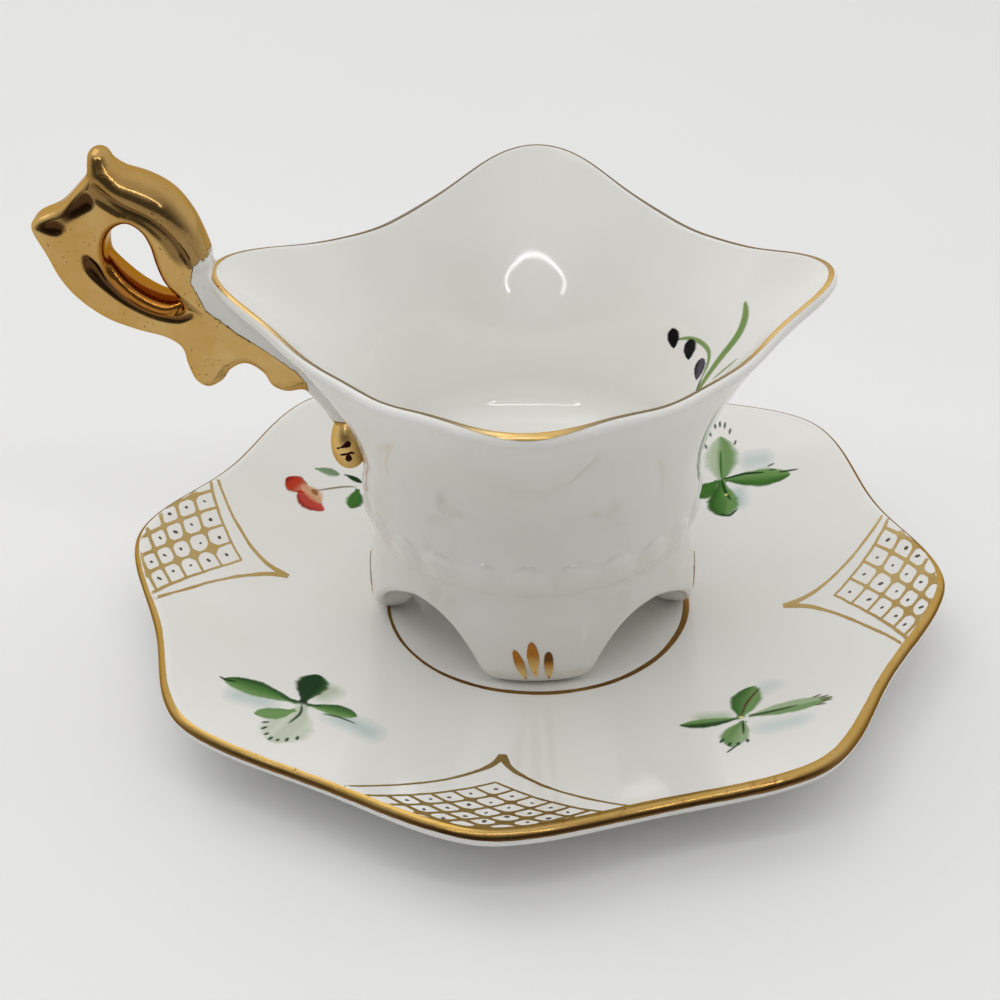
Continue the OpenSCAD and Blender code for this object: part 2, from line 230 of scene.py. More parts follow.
def wobble(t, seed, octaves=4):
    """A smooth, repeatable hand tremor between about -1 and 1, for t in turns or shares."""
    rng = np.random.default_rng(seed)
    total = np.zeros_like(np.asarray(t, float))
    for k in range(octaves):
        rate = rng.integers(3, 6) * 2 ** k
        total = total + np.sin(TAU * (rate * t + rng.random())) / (k + 1)
    return total / 2


# Saucer formulas

def rim_radius(a):
    """A wave of eight corners, drawn part of the way towards a straight-sided octagon."""
    wave = saucer_r + RIM_WAVE * np.cos(8 * a)
    half_side = math.pi / 8
    from_corner = (a + half_side) % (2 * half_side) - half_side
    from_corner = np.sqrt(from_corner ** 2 + RIM_CORNER_SOFT ** 2)
    octagon = rim_corner_r * math.cos(half_side) / np.cos(half_side - from_corner)
    return wave + RIM_STRAIGHT * (octagon - wave)


def rim_height(a):
    return rim_h + RIM_LIFT * np.cos(8 * a)


def dish_side(a, q, flat_r, level):
    """A side of the dish, where q runs from the edge of its flat middle at 0 to its own edge at 1."""
    r = flat_r + (rim_radius(a) - edge_r - flat_r) * q
    return r, level + (rim_height(a) - well_z) * q ** DISH_POWER


def dish_top(a, q):
    return dish_side(a, q, well_r, well_z)


def dish_under(a, q):
    return dish_side(a, q, under_flat_r, under_z)


def dish_edge(a, b, layer=0.0):
    """The half-round edge at angle b, from a quarter turn up to a quarter turn down."""
    return (rim_radius(a) - edge_r + (edge_r + layer) * np.cos(b),
            rim_height(a) - edge_r + (edge_r + layer) * np.sin(b))


def dish_height(x, y):
    """Height of the saucer's top at a point of its own turned frame."""
    a = np.arctan2(y, x)
    r = np.hypot(x, y)
    edge = rim_radius(a) - edge_r
    over = np.clip(r - edge, 0, 0.99 * edge_r)
    fall = edge_r - np.sqrt(edge_r ** 2 - over ** 2)
    return dish_top(a, np.clip((r - well_r) / (edge - well_r), 0, 1))[1] - fall


def saucer_turned(points):
    x, y, z = np.moveaxis(np.asarray(points, float), -1, 0)
    return np.stack([TURN_COS * x - TURN_SIN * y, TURN_SIN * x + TURN_COS * y, z], axis=-1)


# Cup formulas

def lip_radius(a):
    far = FAR_SHORT * np.maximum(np.cos(a), 0) ** FAR_FOCUS
    wave = LIP_CORNER * np.cos(4 * a) + LIP_POINT * np.cos(8 * a) + LIP_NIP * np.cos(12 * a)
    return LIP_R + wave - far


def lip_height(a):
    return lip_z + LIP_LIFT * np.cos(4 * a) + LIP_PEAK * np.cos(8 * a)


def lobed_wall(a, z):
    """Radius of the wall below the waist: it turns in to the groove, and carries lobes with domed tops."""
    low_share = np.clip((base_z + UNDER_CURVE - z) / UNDER_CURVE, 0, 1)
    plain = BODY_R - GROOVE_IN * low_share ** UNDER_POWER
    crown = 0.5 + 0.5 * np.cos(LOBES * a)
    top = lobe_top - LOBE_DOME * (1 - crown) ** LOBE_SCALLOP
    shoulder = 1 - np.clip((top - z) / LOBE_SHOULDER, 0, 1)
    rise = np.sqrt(1 - shoulder ** 2)
    fullness = LOBE_BETWEEN + (1 - LOBE_BETWEEN) * crown ** LOBE_FULL
    return plain + LOBE_PROUD * rise * fullness * (1 - low_share ** LOBE_FADE)


def flare(a, s):
    r = BODY_R + (lip_radius(a) - BODY_R) * np.maximum(s, 0) ** FLARE_POWER
    return r, bead_top + (lip_height(a) - bead_top) * s


def flare_frame(a, s):
    """The directions along the flare and out of it, as (radius, height) pairs."""
    step = 0.01
    r1, z1 = flare(a, s + step)
    r0, z0 = flare(a, np.maximum(s - step, 0))
    size = np.hypot(r1 - r0, z1 - z0)
    along = ((r1 - r0) / size, (z1 - z0) / size)
    return along, (along[1], -along[0])


def lip(a, b, layer=0.0):
    """The half-round lip at angle b, from 0 outside over the top to half a turn inside."""
    r, z = flare(a, 1.0)
    along, out = flare_frame(a, 1.0)
    half = LIP_WALL / 2
    size = half + layer
    return (r - out[0] * half + size * (out[0] * np.cos(b) + along[0] * np.sin(b)),
            z - out[1] * half + size * (out[1] * np.cos(b) + along[1] * np.sin(b)))


def inside(a, s, layer=0.0):
    r, z = flare(a, s)
    out = flare_frame(a, s)[1]
    depth = WALL + (LIP_WALL - WALL) * s + layer
    return r - out[0] * depth, z - out[1] * depth


def floor_corner(b):
    return (BODY_R - WALL - FLOOR_FILLET * (1 - math.cos(b)),
            floor_z + FLOOR_FILLET * (1 - math.sin(b)))


def lip_core(a):
    """The line that the half-round lip is drawn about."""
    return lip(a, QUARTER, -LIP_WALL / 2)


def bowl_field(x, y, z):
    """About the distance outside the bowl's outer wall, below zero in it and in its hollow."""
    r = np.hypot(x, y)
    a = np.arctan2(y, x)
    tall = lip_height(a) - bead_top
    s = np.clip((z - bead_top) / tall, 0, 1)
    slope = (lip_radius(a) - BODY_R) * FLARE_POWER * s ** (FLARE_POWER - 1) / tall
    below = (r - flare(a, s)[0]) / np.sqrt(1 + slope ** 2)
    core_r, core_z = lip_core(a)
    above = np.hypot(r - core_r, z - core_z) - LIP_WALL / 2
    return np.where(z > core_z, above, below)


# Meshes

def turned(profile, count=AROUND):
    """A ring of points from a profile that gives (radius, height) at each angle."""
    a = np.arange(count) * TAU / count
    r, z = profile(a)
    r = r + 0 * a
    return np.stack([r * np.cos(a), r * np.sin(a), z + 0 * a], axis=-1)


def swept(profile, values):
    """A ring for each value, from a profile that takes the angle and the value."""
    return [turned(lambda a: profile(a, value)) for value in values]


def grid_faces(rows, cols, wrap):
    """Quads between the rows of a grid of points, whose columns may run round."""
    across = cols if wrap else cols - 1
    i, j = np.meshgrid(np.arange(rows - 1), np.arange(across), indexing="ij")
    k = (j + 1) % cols
    quads = [i * cols + j, i * cols + k, (i + 1) * cols + k, (i + 1) * cols + j]
    return np.stack(quads, axis=-1).reshape(-1, 4)


def lathe(rings, capped=True):
    """A closed solid from rings of points, whose first and last get a middle or are joined to each other."""
    count = len(rings[0])
    points = np.concatenate(rings)
    if not capped:
        faces = grid_faces(len(rings) + 1, count, True) % len(points)
        return points, faces.tolist()
    faces = grid_faces(len(rings), count, True).tolist()
    first, last = len(points), len(points) + 1
    points = np.concatenate([points, [rings[0].mean(0)], [rings[-1].mean(0)]])
    start = (len(rings) - 1) * count
    for i in range(count):
        j = (i + 1) % count
        faces.append([first, j, i])
        faces.append([last, start + i, start + j])
    return points, faces


def closed_film(top, under, faces):
    """A thin closed solid between two sheets that share their faces."""
    count = len(top)
    faces = np.asarray(faces)
    starts = faces.ravel()
    ends = np.roll(faces, -1, axis=1).ravel()
    lone = ~np.isin(starts * count + ends, ends * count + starts)
    i, j = starts[lone], ends[lone]
    walls = np.stack([j, i, i + count, j + count], axis=-1)
    used = np.concatenate([faces, faces[:, ::-1] + count, walls])
    points = np.concatenate([top, under])
    kept, used = np.unique(used, return_inverse=True)
    return points[kept], used.reshape(-1, 4), kept


def contour(field, corner_low, corner_high, step):
    """A closed mesh where a field is zero, by surface nets, with its points drawn onto the field."""
    axes = [np.arange(a, b + step, step) for a, b in zip(corner_low, corner_high)]
    values = field(*np.ix_(*axes))
    filled = values < 0

    def corner(array, at):
        return array[tuple(slice(k, n - 1 + k) for k, n in zip(at, array.shape))]

    corners = list(np.ndindex(2, 2, 2))
    full = sum(corner(filled, c).astype(np.int8) for c in corners)
    active = (full > 0) & (full < 8)
    cells = np.argwhere(active)
    index = np.full(active.shape, -1)
    index[active] = np.arange(len(cells))
    total = np.zeros((len(cells), 3))
    hits = np.zeros(len(cells))
    for start in corners:
        for axis in range(3):
            if start[axis]:
                continue
            end = tuple(c + (k == axis) for k, c in enumerate(start))
            v0, v1 = corner(values, start)[active], corner(values, end)[active]
            crossed = (v0 < 0) != (v1 < 0)
            share = np.where(crossed, v0 / np.where(crossed, v0 - v1, 1), 0)
            spot = np.array(start, float) + share[:, None] * np.eye(3)[axis]
            total += np.where(crossed[:, None], spot, 0)
            hits += crossed
    points = np.array(corner_low) + step * (cells + total / hits[:, None])

    faces = []
    for axis in range(3):
        e, f = (axis + 1) % 3, (axis + 2) % 3
        first = [slice(1, -1)] * 3
        second = [slice(1, -1)] * 3
        first[axis] = slice(0, -1)
        second[axis] = slice(1, None)
        near, far = filled[tuple(first)], filled[tuple(second)]
        spots = np.argwhere(near != far)
        outward = near[near != far]
        spots[:, e] += 1
        spots[:, f] += 1
        quad = []
        for de, df in ((-1, -1), (0, -1), (0, 0), (-1, 0)):
            cell = spots.copy()
            cell[:, e] += de
            cell[:, f] += df
            quad.append(index[tuple(cell.T)])
        quad = np.stack(quad, axis=-1)
        quad[~outward] = quad[~outward][:, ::-1]
        faces.append(quad)
    return settle(points, field, step), np.concatenate(faces)


def slopes(field, points, nudge):
    """A field at points, and how steeply it grows along each axis."""
    here = field(*points.T)
    there = [field(*(points + nudge * axis).T) - here for axis in np.eye(3)]
    return here, np.stack(there, axis=-1) / nudge


def settle(points, field, step, rounds=3):
    """Draw points onto the surface where a field is zero."""
    for _ in range(rounds):
        here, slope = slopes(field, points, 0.02 * step)
        move = slope * (here / np.maximum((slope ** 2).sum(-1), 0.1))[:, None]
        length = np.linalg.norm(move, axis=-1, keepdims=True)
        points = points - move * np.minimum(1, 0.5 * step / np.maximum(length, 1e-9))
    return points


# Edges sharper than this stay sharp in the shading
SHARP_ANGLE = math.radians(42)


def linked(name, data):
    """A new object in the scene."""
    obj = bpy.data.objects.new(name, data)
    bpy.context.scene.collection.objects.link(obj)
    return obj


def add_piece(name, points, faces, material, body, slot, replaced=(), **values):
    """A mesh in metres that rides a body and stands for CAD nodes, with the values its points carry."""
    mesh = bpy.data.meshes.new(name)
    mesh.from_pydata((np.asarray(points) * MM).tolist(), [], np.asarray(faces, dtype=object).tolist())
    mesh.update()
    mesh.shade_smooth()
    mesh.set_sharp_from_angle(angle=SHARP_ANGLE)
    mesh.materials.append(material)
    for key, value in values.items():
        if value.ndim == 1:
            mesh.attributes.new(key, "FLOAT", "POINT").data.foreach_set("value", value)
        else:
            colours = np.column_stack([value, np.ones(len(value))])
            mesh.attributes.new(key, "FLOAT_COLOR", "POINT").data.foreach_set("color", colours.ravel())
    piece = linked(name, mesh)
    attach(piece, body)
    if replaced:
        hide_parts(*replaced)


class Gathered:
    """Many thin films that become one piece, with the values that each point carries."""

    def __init__(self):
        self.points, self.faces, self.values, self.count = [], [], {}, 0

    def film(self, top, under, faces, **values):
        points, faces, kept = closed_film(top, under, faces)
        for name, value in values.items():
            self.values.setdefault(name, []).append(np.concatenate([value, value])[kept])
        self.points.append(points)
        self.faces.append(faces + self.count)
        self.count += len(points)

    def add(self, name, material, body, slot, replaced=()):
        values = {key: np.concatenate(parts) for key, parts in self.values.items()}
        points, faces = np.concatenate(self.points), np.concatenate(self.faces)
        add_piece(name, points, faces, material, body, slot, replaced, **values)


# Materials

def linear(r, g, b):
    """A colour of the screen's 0 to 255 as a linear one."""
    def one(v):
        v = v / 255
        return v / 12.92 if v <= 0.04045 else ((v + 0.055) / 1.055) ** 2.4
    return one(r), one(g), one(b)


# Where a colour mix node has its two colours and its result
MIX_FIRST, MIX_SECOND, MIX_RESULT = 6, 7, 2


class Shader:
    """A node tree of a material or of the world, built up a node at a time."""

    def __init__(self, owner):
        owner.use_nodes = True
        self.owner = owner
        self.tree = owner.node_tree
        self.places = self.tree.nodes.new("ShaderNodeTexCoord").outputs

    def feed(self, node, inputs):
        """Set a node's inputs to values, or link them to what other nodes give."""
        for key, value in inputs.items():
            socket = node.inputs[key]
            if isinstance(value, bpy.types.NodeSocket):
                self.tree.links.new(value, socket)
            else:
                socket.default_value = (*value, 1) if isinstance(value, tuple) else value

    def node(self, kind, inputs, **settings):
        node = self.tree.nodes.new("ShaderNode" + kind)
        for key, value in settings.items():
            setattr(node, key, value)
        self.feed(node, inputs)
        return node.outputs

    def noise(self, scale, detail=3.0, roughness=0.55, distortion=0.0):
        """Cloudy noise, whose scale counts its waves to the metre."""
        grain = {"Scale": scale, "Detail": detail, "Roughness": roughness, "Distortion": distortion}
        return self.node("TexNoise", {"Vector": self.places["Object"], **grain})["Fac"]

    def cells(self, scale):
        outputs = self.node("TexVoronoi", {"Vector": self.places["Object"], "Scale": scale})
        return outputs["Distance"], outputs["Color"]

    def math(self, kind, first, second):
        return self.node("Math", {0: first, 1: second}, operation=kind)[0]

    def remap(self, value, from_low, from_high, to_low=0.0, to_high=1.0, curve="LINEAR"):
        ends = {"From Min": from_low, "From Max": from_high, "To Min": to_low, "To Max": to_high}
        return self.node("MapRange", {"Value": value, **ends}, interpolation_type=curve)["Result"]

    def mix(self, share, first, second, kind="MIX"):
        inputs = {"Factor": share, MIX_FIRST: first, MIX_SECOND: second}
        return self.node("Mix", inputs, data_type="RGBA", blend_type=kind)[MIX_RESULT]

    def attribute(self, name):
        return self.node("Attribute", {}, attribute_name=name)["Color"]

    def bump(self, height, distance):
        return self.node("Bump", {"Height": height, "Distance": distance, "Strength": 1.0})["Normal"]

    def finish(self, inputs):
        """Feed the surface, and give the finished material."""
        self.feed(self.tree.nodes["Principled BSDF"], inputs)
        return self.owner


def new_shader(name):
    return Shader(bpy.data.materials.new(name))


PORCELAIN = (0.82, 0.815, 0.785)
PORCELAIN_WARM = (0.80, 0.785, 0.745)
PORCELAIN_IOR = 1.52
SPECK = (0.10, 0.075, 0.055)
SPECK_SIZE = 0.016
SPECK_PICK = 0.62
GLAZE_ROUGH = (0.05, 0.11)
GLAZE_RIPPLE = 0.00006
# How much dark and pale paint shine
PAINT_SHINE = (0.06, 0.5)


def porcelain(name, painted=False):
    """White glaze with a faint warm drift, a rippled skin and a few kiln specks."""
    shader = new_shader(name)
    drift = shader.remap(shader.noise(45, 2), 0.38, 0.72)
    colour = shader.mix(drift, PORCELAIN, PORCELAIN_WARM)
    near, pick = shader.cells(75)
    dot = shader.math("LESS_THAN", near, SPECK_SIZE)
    chosen = shader.math("GREATER_THAN", pick, SPECK_PICK)
    colour = shader.mix(shader.math("MULTIPLY", dot, chosen), colour, SPECK)
    if painted:
        paint = shader.attribute("paint")
        colour = shader.mix(1.0, colour, paint, "MULTIPLY")
        shader.finish({"Specular IOR Level": shader.remap(paint, 0.3, 0.95, *PAINT_SHINE)})
    rough = shader.remap(shader.noise(160, 2), 0.3, 0.7, *GLAZE_ROUGH)
    ripple = shader.bump(shader.noise(110, 1), GLAZE_RIPPLE)
    return shader.finish({"Base Color": colour, "Roughness": rough, "IOR": PORCELAIN_IOR, "Normal": ripple})


CLAY_DARK = (0.62, 0.585, 0.52)
CLAY_PALE = (0.74, 0.71, 0.65)
CLAY_ROUGH = (0.62, 0.85)
CLAY_GRAIN = 0.00004


def biscuit():
    """The bare, matt clay of the ring that the saucer stands on."""
    shader = new_shader("bare_clay")
    grain = shader.noise(2500, 3)
    colour = shader.mix(shader.remap(grain, 0.3, 0.7), CLAY_DARK, CLAY_PALE)
    rough = shader.remap(grain, 0.3, 0.7, *CLAY_ROUGH)
    return shader.finish({"Base Color": colour, "Roughness": rough, "Normal": shader.bump(grain, CLAY_GRAIN)})


# Orange-brown deep tone: a painted reflection of gold in gold on the handle's hole walls, and a burnt tone on
# the claws
GOLD_TARNISH_AND_REFLECTION = (0.40, 0.165, 0.03)
# Near-black brown: painted shade in the handle's carvings and a painted dark reflection on its scroll, and
# dirt on the claws
GOLD_DIRT_AND_SHADE = (0.075, 0.032, 0.013)
GOLD_FLECK = (0.10, 0.05, 0.02)
GOLD_BROWN = (0.36, 0.18, 0.05)
GOLD_EDGE_TINT = (0.80, 0.62, 0.38)
GOLD_RELIEF = 0.00002


def gilding(name, bright, pale, brown=GOLD_BROWN, rough=(0.2, 0.4), wear=0.0, flecks=0.0, deep=None):
    """Worn gold: a drift of tone, rubbed brown places, dark flecks, and, where deep is given, a deep tone and
    a dark tone that the points' attributes mix in: tarnish, wear and dirt, and painted reflection and shade.
    """
    shader = new_shader(name)
    colour = shader.mix(shader.remap(shader.noise(160, 4), 0.35, 0.68), bright, pale)
    rubbed = shader.remap(shader.noise(420, 6, 0.65, 0.4), 0.66 - wear, 0.80 - wear)
    colour = shader.mix(rubbed, colour, brown)
    if deep:
        # Deep tone: tarnish and wear, a painted reflection of gold in the handle's hole, and painted shade on
        # the rim band. Dark tone: dirt on the claws, painted shade in the handle's carvings, and a painted
        # dark reflection on its scroll.
        colour = shader.mix(shader.attribute("tarnish"), colour, deep)
        colour = shader.mix(shader.attribute("dirt"), colour, GOLD_DIRT_AND_SHADE)
    fine = shader.remap(shader.noise(2300, 5, 0.6), 0.655 - flecks, 0.70 - flecks)
    patch = shader.remap(shader.noise(130, 3), 0.47, 0.60)
    fleck = shader.math("MULTIPLY", fine, patch)
    colour = shader.mix(fleck, colour, GOLD_FLECK)
    satin = shader.remap(shader.noise(700, 5), 0.3, 0.72, *rough)
    satin = shader.math("ADD", satin, shader.math("MULTIPLY", fleck, 0.3))
    relief = shader.math("SUBTRACT", shader.noise(600, 4), shader.math("MULTIPLY", fleck, 0.8))
    return shader.finish({"Base Color": colour, "Roughness": satin, "Metallic": 1.0,
                          "Specular Tint": GOLD_EDGE_TINT, "Normal": shader.bump(relief, GOLD_RELIEF)})


glaze = porcelain("white_glaze")
painted_glaze = porcelain("painted_glaze", painted=True)
bare_clay = biscuit()
handle_gold = gilding("handle_gold", (0.53, 0.32, 0.095), (0.60, 0.40, 0.155),
                      rough=(0.10, 0.22), wear=-0.01, flecks=0.02, deep=GOLD_TARNISH_AND_REFLECTION)
knob_gold = gilding("knob_gold", (0.70, 0.46, 0.16), (0.76, 0.54, 0.23), rough=(0.22, 0.36))
# The rim's deep tone is painted shade: a dark reflection on the band's lower side and a shadow line at the
# back
rim_gold = gilding("rim_gold", (0.50, 0.315, 0.085), (0.52, 0.345, 0.12),
                   rough=(0.12, 0.28), wear=0.08, flecks=0.01, deep=(0.15, 0.07, 0.022))
lip_gold = gilding("lip_gold", (0.70, 0.47, 0.17), (0.74, 0.54, 0.25),
                   flecks=-0.05, deep=(0.23, 0.205, 0.165))
line_gold = gilding("line_gold", (0.32, 0.17, 0.05), (0.38, 0.23, 0.085), (0.14, 0.07, 0.03),
                    rough=(0.30, 0.48), wear=0.05, flecks=-0.1)
claw_gold = gilding("claw_gold", (0.66, 0.43, 0.13), (0.72, 0.52, 0.22), deep=GOLD_TARNISH_AND_REFLECTION)
trellis_gold = gilding("trellis_gold", (0.43, 0.30, 0.115), (0.48, 0.36, 0.165), (0.30, 0.19, 0.08),
                       rough=(0.32, 0.5), wear=0.02, flecks=-0.1)


# Saucer pieces

def make_saucer_dish():
    rings = swept(lambda a, r: (r, under_z), np.linspace(FAN_R, under_flat_r, 9)[:-1])
    rings += swept(dish_under, np.linspace(0, 1, 18)[:-1])
    rings += swept(dish_edge, np.linspace(-QUARTER, QUARTER, 15))
    rings += swept(dish_top, np.linspace(1, 0, 41)[1:])
    rings += swept(lambda a, r: (r, well_z), np.linspace(well_r, FAN_R, 8)[1:])
    points, faces = lathe(rings)
    add_piece("saucer_glazed", saucer_turned(points), faces, glaze, "saucer", "porcelain", ["saucer_dish"])


def make_foot_ring():
    """A turned ring with rounded edges, wiped bare where it stands."""
    taper, round_r, sink = 0.5, 0.45, 0.1
    sides = ((foot_ring_in + taper, 1, (0, QUARTER)), (foot_ring_out - taper, -1, (QUARTER, 0)))
    profile = [(foot_ring_in, under_z + sink)]
    for corner_r, way, (start, end) in sides:
        for turn in np.linspace(start, end, 6):
            profile.append((corner_r + way * round_r * (1 - math.cos(turn)), round_r * (1 - math.sin(turn))))
    profile.append((foot_ring_out, under_z + sink))
    ring = lathe([turned(lambda a: point, AROUND // 2) for point in profile], capped=False)
    add_piece("saucer_foot_turned", *ring, bare_clay, "saucer", "porcelain", ["saucer_foot_ring"])


BRUSH_COUNT = 2 * AROUND
brush_turn = np.arange(BRUSH_COUNT) / BRUSH_COUNT


def film_on_rings(ring, shares, thick, **values):
    """A closed film over rings of points that a share and a height over the glaze give."""
    top = [ring(v, thick) for v in shares]
    under = [ring(v, -FILM_SINK) for v in shares]
    films = Gathered()
    films.film(np.concatenate(top), np.concatenate(under), grid_faces(len(top), len(top[0]), True), **values)
    return films


def make_rim_band():
    """Gold brushed over the saucer's edge, with an uneven inner line and an uneven lower line."""
    thick, band_in, band_low, band_back = 0.07, 0.5, 1.6, 0.5
    thin_left, thin_right = 0.75, 0.45
    a = brush_turn * TAU + SAUCER_TURN
    front = 0.5 - 0.5 * np.sin(a)
    near = smooth_step(0.16, -0.04, np.sin(a))
    narrow = thin_left * smooth_step(0.05, -0.35, np.cos(a))
    narrow = narrow + thin_right * smooth_step(0.7, 0.98, np.cos(a))
    reach = near * band_in * (0.3 + 0.9 * front ** 1.5) - (1 - near) * band_back
    reach = reach + near * (0.13 * (0.4 + front) * wobble(brush_turn, 3, 6) - narrow)
    lowest = -band_low + 0.15 * wobble(brush_turn, 4, 6)

    def ring(share, layer):
        """From the lowest line at 0 to the inner line at 1, along the edge's skin from its top."""
        def profile(a):
            s = lowest + (reach - lowest) * share
            er, ez = dish_edge(a, QUARTER + np.minimum(s, 0) / edge_r, layer)
            tr, tz = dish_top(a, 1 - np.maximum(s, 0) / (rim_radius(a) - edge_r - well_r))
            return np.where(s <= 0, er, tr), np.where(s <= 0, ez, tz + layer)
        return saucer_turned(turned(profile, BRUSH_COUNT))

    shares = np.linspace(0, 1, 13)
    # Painted shade: the deep tone comes in on the band's lower side as a painted dark reflection, and all
    # along the back as a painted shadow line
    wear_and_shade = np.maximum(0.9 * smooth_step(0.6, 0.15, shares)[:, None], 0.8 * (1 - near))
    band = film_on_rings(ring, shares, thick, tarnish=wear_and_shade.ravel())
    band.add("saucer_rim_gold", rim_gold, "saucer", "gilding", ["saucer_rim_gilding"])


def make_well_ring():
    """A brushed ring round the feet, a little out of true as a hand leaves it."""
    thick, drift_x, drift_y = 0.05, 0.75, -0.25
    a = brush_turn * TAU
    drift = drift_x * np.cos(a) + drift_y * np.sin(a)
    middle = (ring_in + ring_out) / 2 + drift + 0.08 * wobble(brush_turn, 8, 3)
    half = (ring_out - ring_in) / 2 * (0.72 + 0.22 * np.cos(a) + 0.14 * wobble(brush_turn, 9, 5))

    def ring(side, layer):
        def profile(angle):
            r = middle + side * half
            return r, dish_height(r * np.cos(angle), r * np.sin(angle)) + layer
        return turned(profile, BRUSH_COUNT)

    brushed = film_on_rings(ring, np.linspace(1, -1, 5), thick)
    brushed.add("well_ring_gold", line_gold, "saucer", "gilding", ["well_ring_gilding"])


make_saucer_dish()
make_foot_ring()
make_rim_band()
make_well_ring()


# Cup pieces

# The rings stand close together from this far below the lobes' tops
FINE_BELOW = 3


def make_bowl():
    fine_z = lobe_top - FINE_BELOW
    levels = np.concatenate([np.linspace(base_z, fine_z, 14)[:-1], np.linspace(fine_z, lobe_top, 22),
                             np.linspace(lobe_top, bead_top, 6)[1:-1]])
    rings = swept(lambda a, r: (r, base_z), np.linspace(FAN_R, groove_r, 6)[:-1])
    rings += swept(lambda a, z: (lobed_wall(a, z), z), levels)
    rings += swept(flare, np.linspace(0, 1, 45)[:-1])
    rings += swept(lip, np.linspace(0, math.pi, 17)[:-1])
    rings += swept(inside, np.linspace(1, 0, 45))
    rings += swept(lambda a, b: floor_corner(b), np.linspace(0, QUARTER, 13))
    rings += swept(lambda a, r: (r, floor_z), np.linspace(BODY_R - WALL - FLOOR_FILLET, FAN_R, 6)[1:])
    add_piece("cup_bowl_glazed", *lathe(rings), glaze, "cup", "porcelain", ["cup_bowl"])


def soft_min(first, second, blend):
    gap = np.maximum(blend - np.abs(first - second), 0)
    return np.minimum(first, second) - gap ** 2 / (4 * blend)


def soft_max(first, second, blend):
    return -soft_min(-first, -second, blend)


def under_round(z, tall):
    k = np.clip(1 - z / tall, 0, 1)
    return 1 - np.sqrt(1 - k * k)


def toe_front(z):
    """Radius of the skirt's outside at a height above the soles."""
    swell = TOE_OUT * np.sin(math.pi * np.clip((foot_h - z) / foot_h, 0, 0.5))
    apron_flare = apron_r - groove_r
    rise = np.clip((base_z - well_z - z) / (base_z - pad_z), 0, 1)
    above = z - (base_z - well_z)
    seam = SEAM_SLOPE / 2 * (above + np.sqrt(above ** 2 + SEAM_ROUND ** 2))
    return groove_r + seam + apron_flare * rise ** APRON_CURVE + swell - TOE_ROUND * under_round(z, TOE_HIGH)


def heel_back(z):
    return apron_in + HEEL_ROUND * under_round(z, HEEL_HIGH)


def skirt_field(x, y, z):
    """The apron and its four feet as one smooth skin, with an arch between each two feet."""
    up = z - well_z
    down = np.clip(1 - up / (foot_h + apron_h), 0, 1)
    y = (y - FOOT_BACK * down) * (1 + FOOT_OVAL * down)
    r = np.hypot(x, y)
    outside = r - toe_front(np.clip(up, 0, None))
    within = heel_back(np.clip(up, 0, None)) - r
    turn = np.arctan2(y, x) - FOOT_TURN
    slack = np.cos(2 * turn) > 0
    half = np.where(slack, ARCH_SLACK_HALF, ARCH_HALF)
    power = np.where(slack, ARCH_SLACK_ROUND, ARCH_ROUND)
    from_foot = np.abs((turn + EIGHTH) % QUARTER - EIGHTH)
    across = np.maximum((EIGHTH - from_foot) * apron_r / half, 1e-4)
    rise = ARCH_RISE - ARCH_TILT * np.cos(turn + EIGHTH)
    tall = np.maximum(up / rise, 1e-4)
    opening = 1 - across ** power - tall ** ARCH_STEEP
    slope_across = power * across ** (power - 1) / half
    slope_up = ARCH_STEEP * tall ** (ARCH_STEEP - 1) / rise
    arch = opening / np.maximum(np.hypot(slope_across, slope_up), 0.03)
    wall = soft_max(outside, within, SKIRT_BLEND)
    flank = soft_max(arch, -up, SOLE_EDGE)
    skin = soft_max(wall, flank, ARCH_EDGE)
    return np.maximum(skin, z - base_z - SEAM_OVERLAP)


def make_skirt():
    reach, margin, step = apron_r + TOE_OUT + 0.8, 0.6, 0.26
    corner_low = (-reach, -reach, well_z - margin)
    corner_high = (reach, reach, base_z + SEAM_OVERLAP + margin)
    skin = contour(skirt_field, corner_low, corner_high, step)
    feet = ["foot_apron", "foot_front", "foot_right", "foot_back", "foot_left"]
    add_piece("cup_feet_glazed", *skin, glaze, "cup", "porcelain", feet)


def spline(points, per=10, closed=False):
    """A smooth curve through points, by Catmull and Rom's rule."""
    points = np.array(points, float)
    count = len(points)
    spans = count if closed else count - 1
    pick = (lambda i: points[i % count]) if closed else (lambda i: points[min(max(i, 0), count - 1)])
    t = (np.arange(per) / per)[:, None]
    curve = []
    for i in range(spans):
        p0, p1, p2, p3 = pick(i - 1), pick(i), pick(i + 1), pick(i + 2)
        bend = (2 * p0 - 5 * p1 + 4 * p2 - p3) * t ** 2 + (3 * p1 - p0 - 3 * p2 + p3) * t ** 3
        curve.append(p1 + 0.5 * ((p2 - p0) * t + bend))
    if not closed:
        curve.append(points[-1:])
    return np.concatenate(curve)


def near_segment(x, z, start, end):
    """Distance from a segment, and the share along it of the nearest point."""
    dx, dz = end[0] - start[0], end[1] - start[1]
    share = np.clip(((x - start[0]) * dx + (z - start[1]) * dz) / max(dx * dx + dz * dz, 1e-9), 0, 1)
    return np.hypot(x - start[0] - share * dx, z - start[1] - share * dz), share


def inside_polygon(x, z, corners):
    """True where points lie in a polygon."""
    odd = np.zeros(np.broadcast(x, z).shape, bool)
    for (x0, z0), (x1, z1) in zip(corners, np.roll(corners, -1, axis=0)):
        spans = (z0 > z) != (z1 > z)
        if z1 != z0:
            odd ^= spans & (x < x0 + (x1 - x0) * (z - z0) / (z1 - z0))
    return odd


def from_path(x, z, path):
    """Distance from a line through points."""
    return reduce(np.minimum, (near_segment(x, z, *ends)[0] for ends in zip(path, path[1:])))


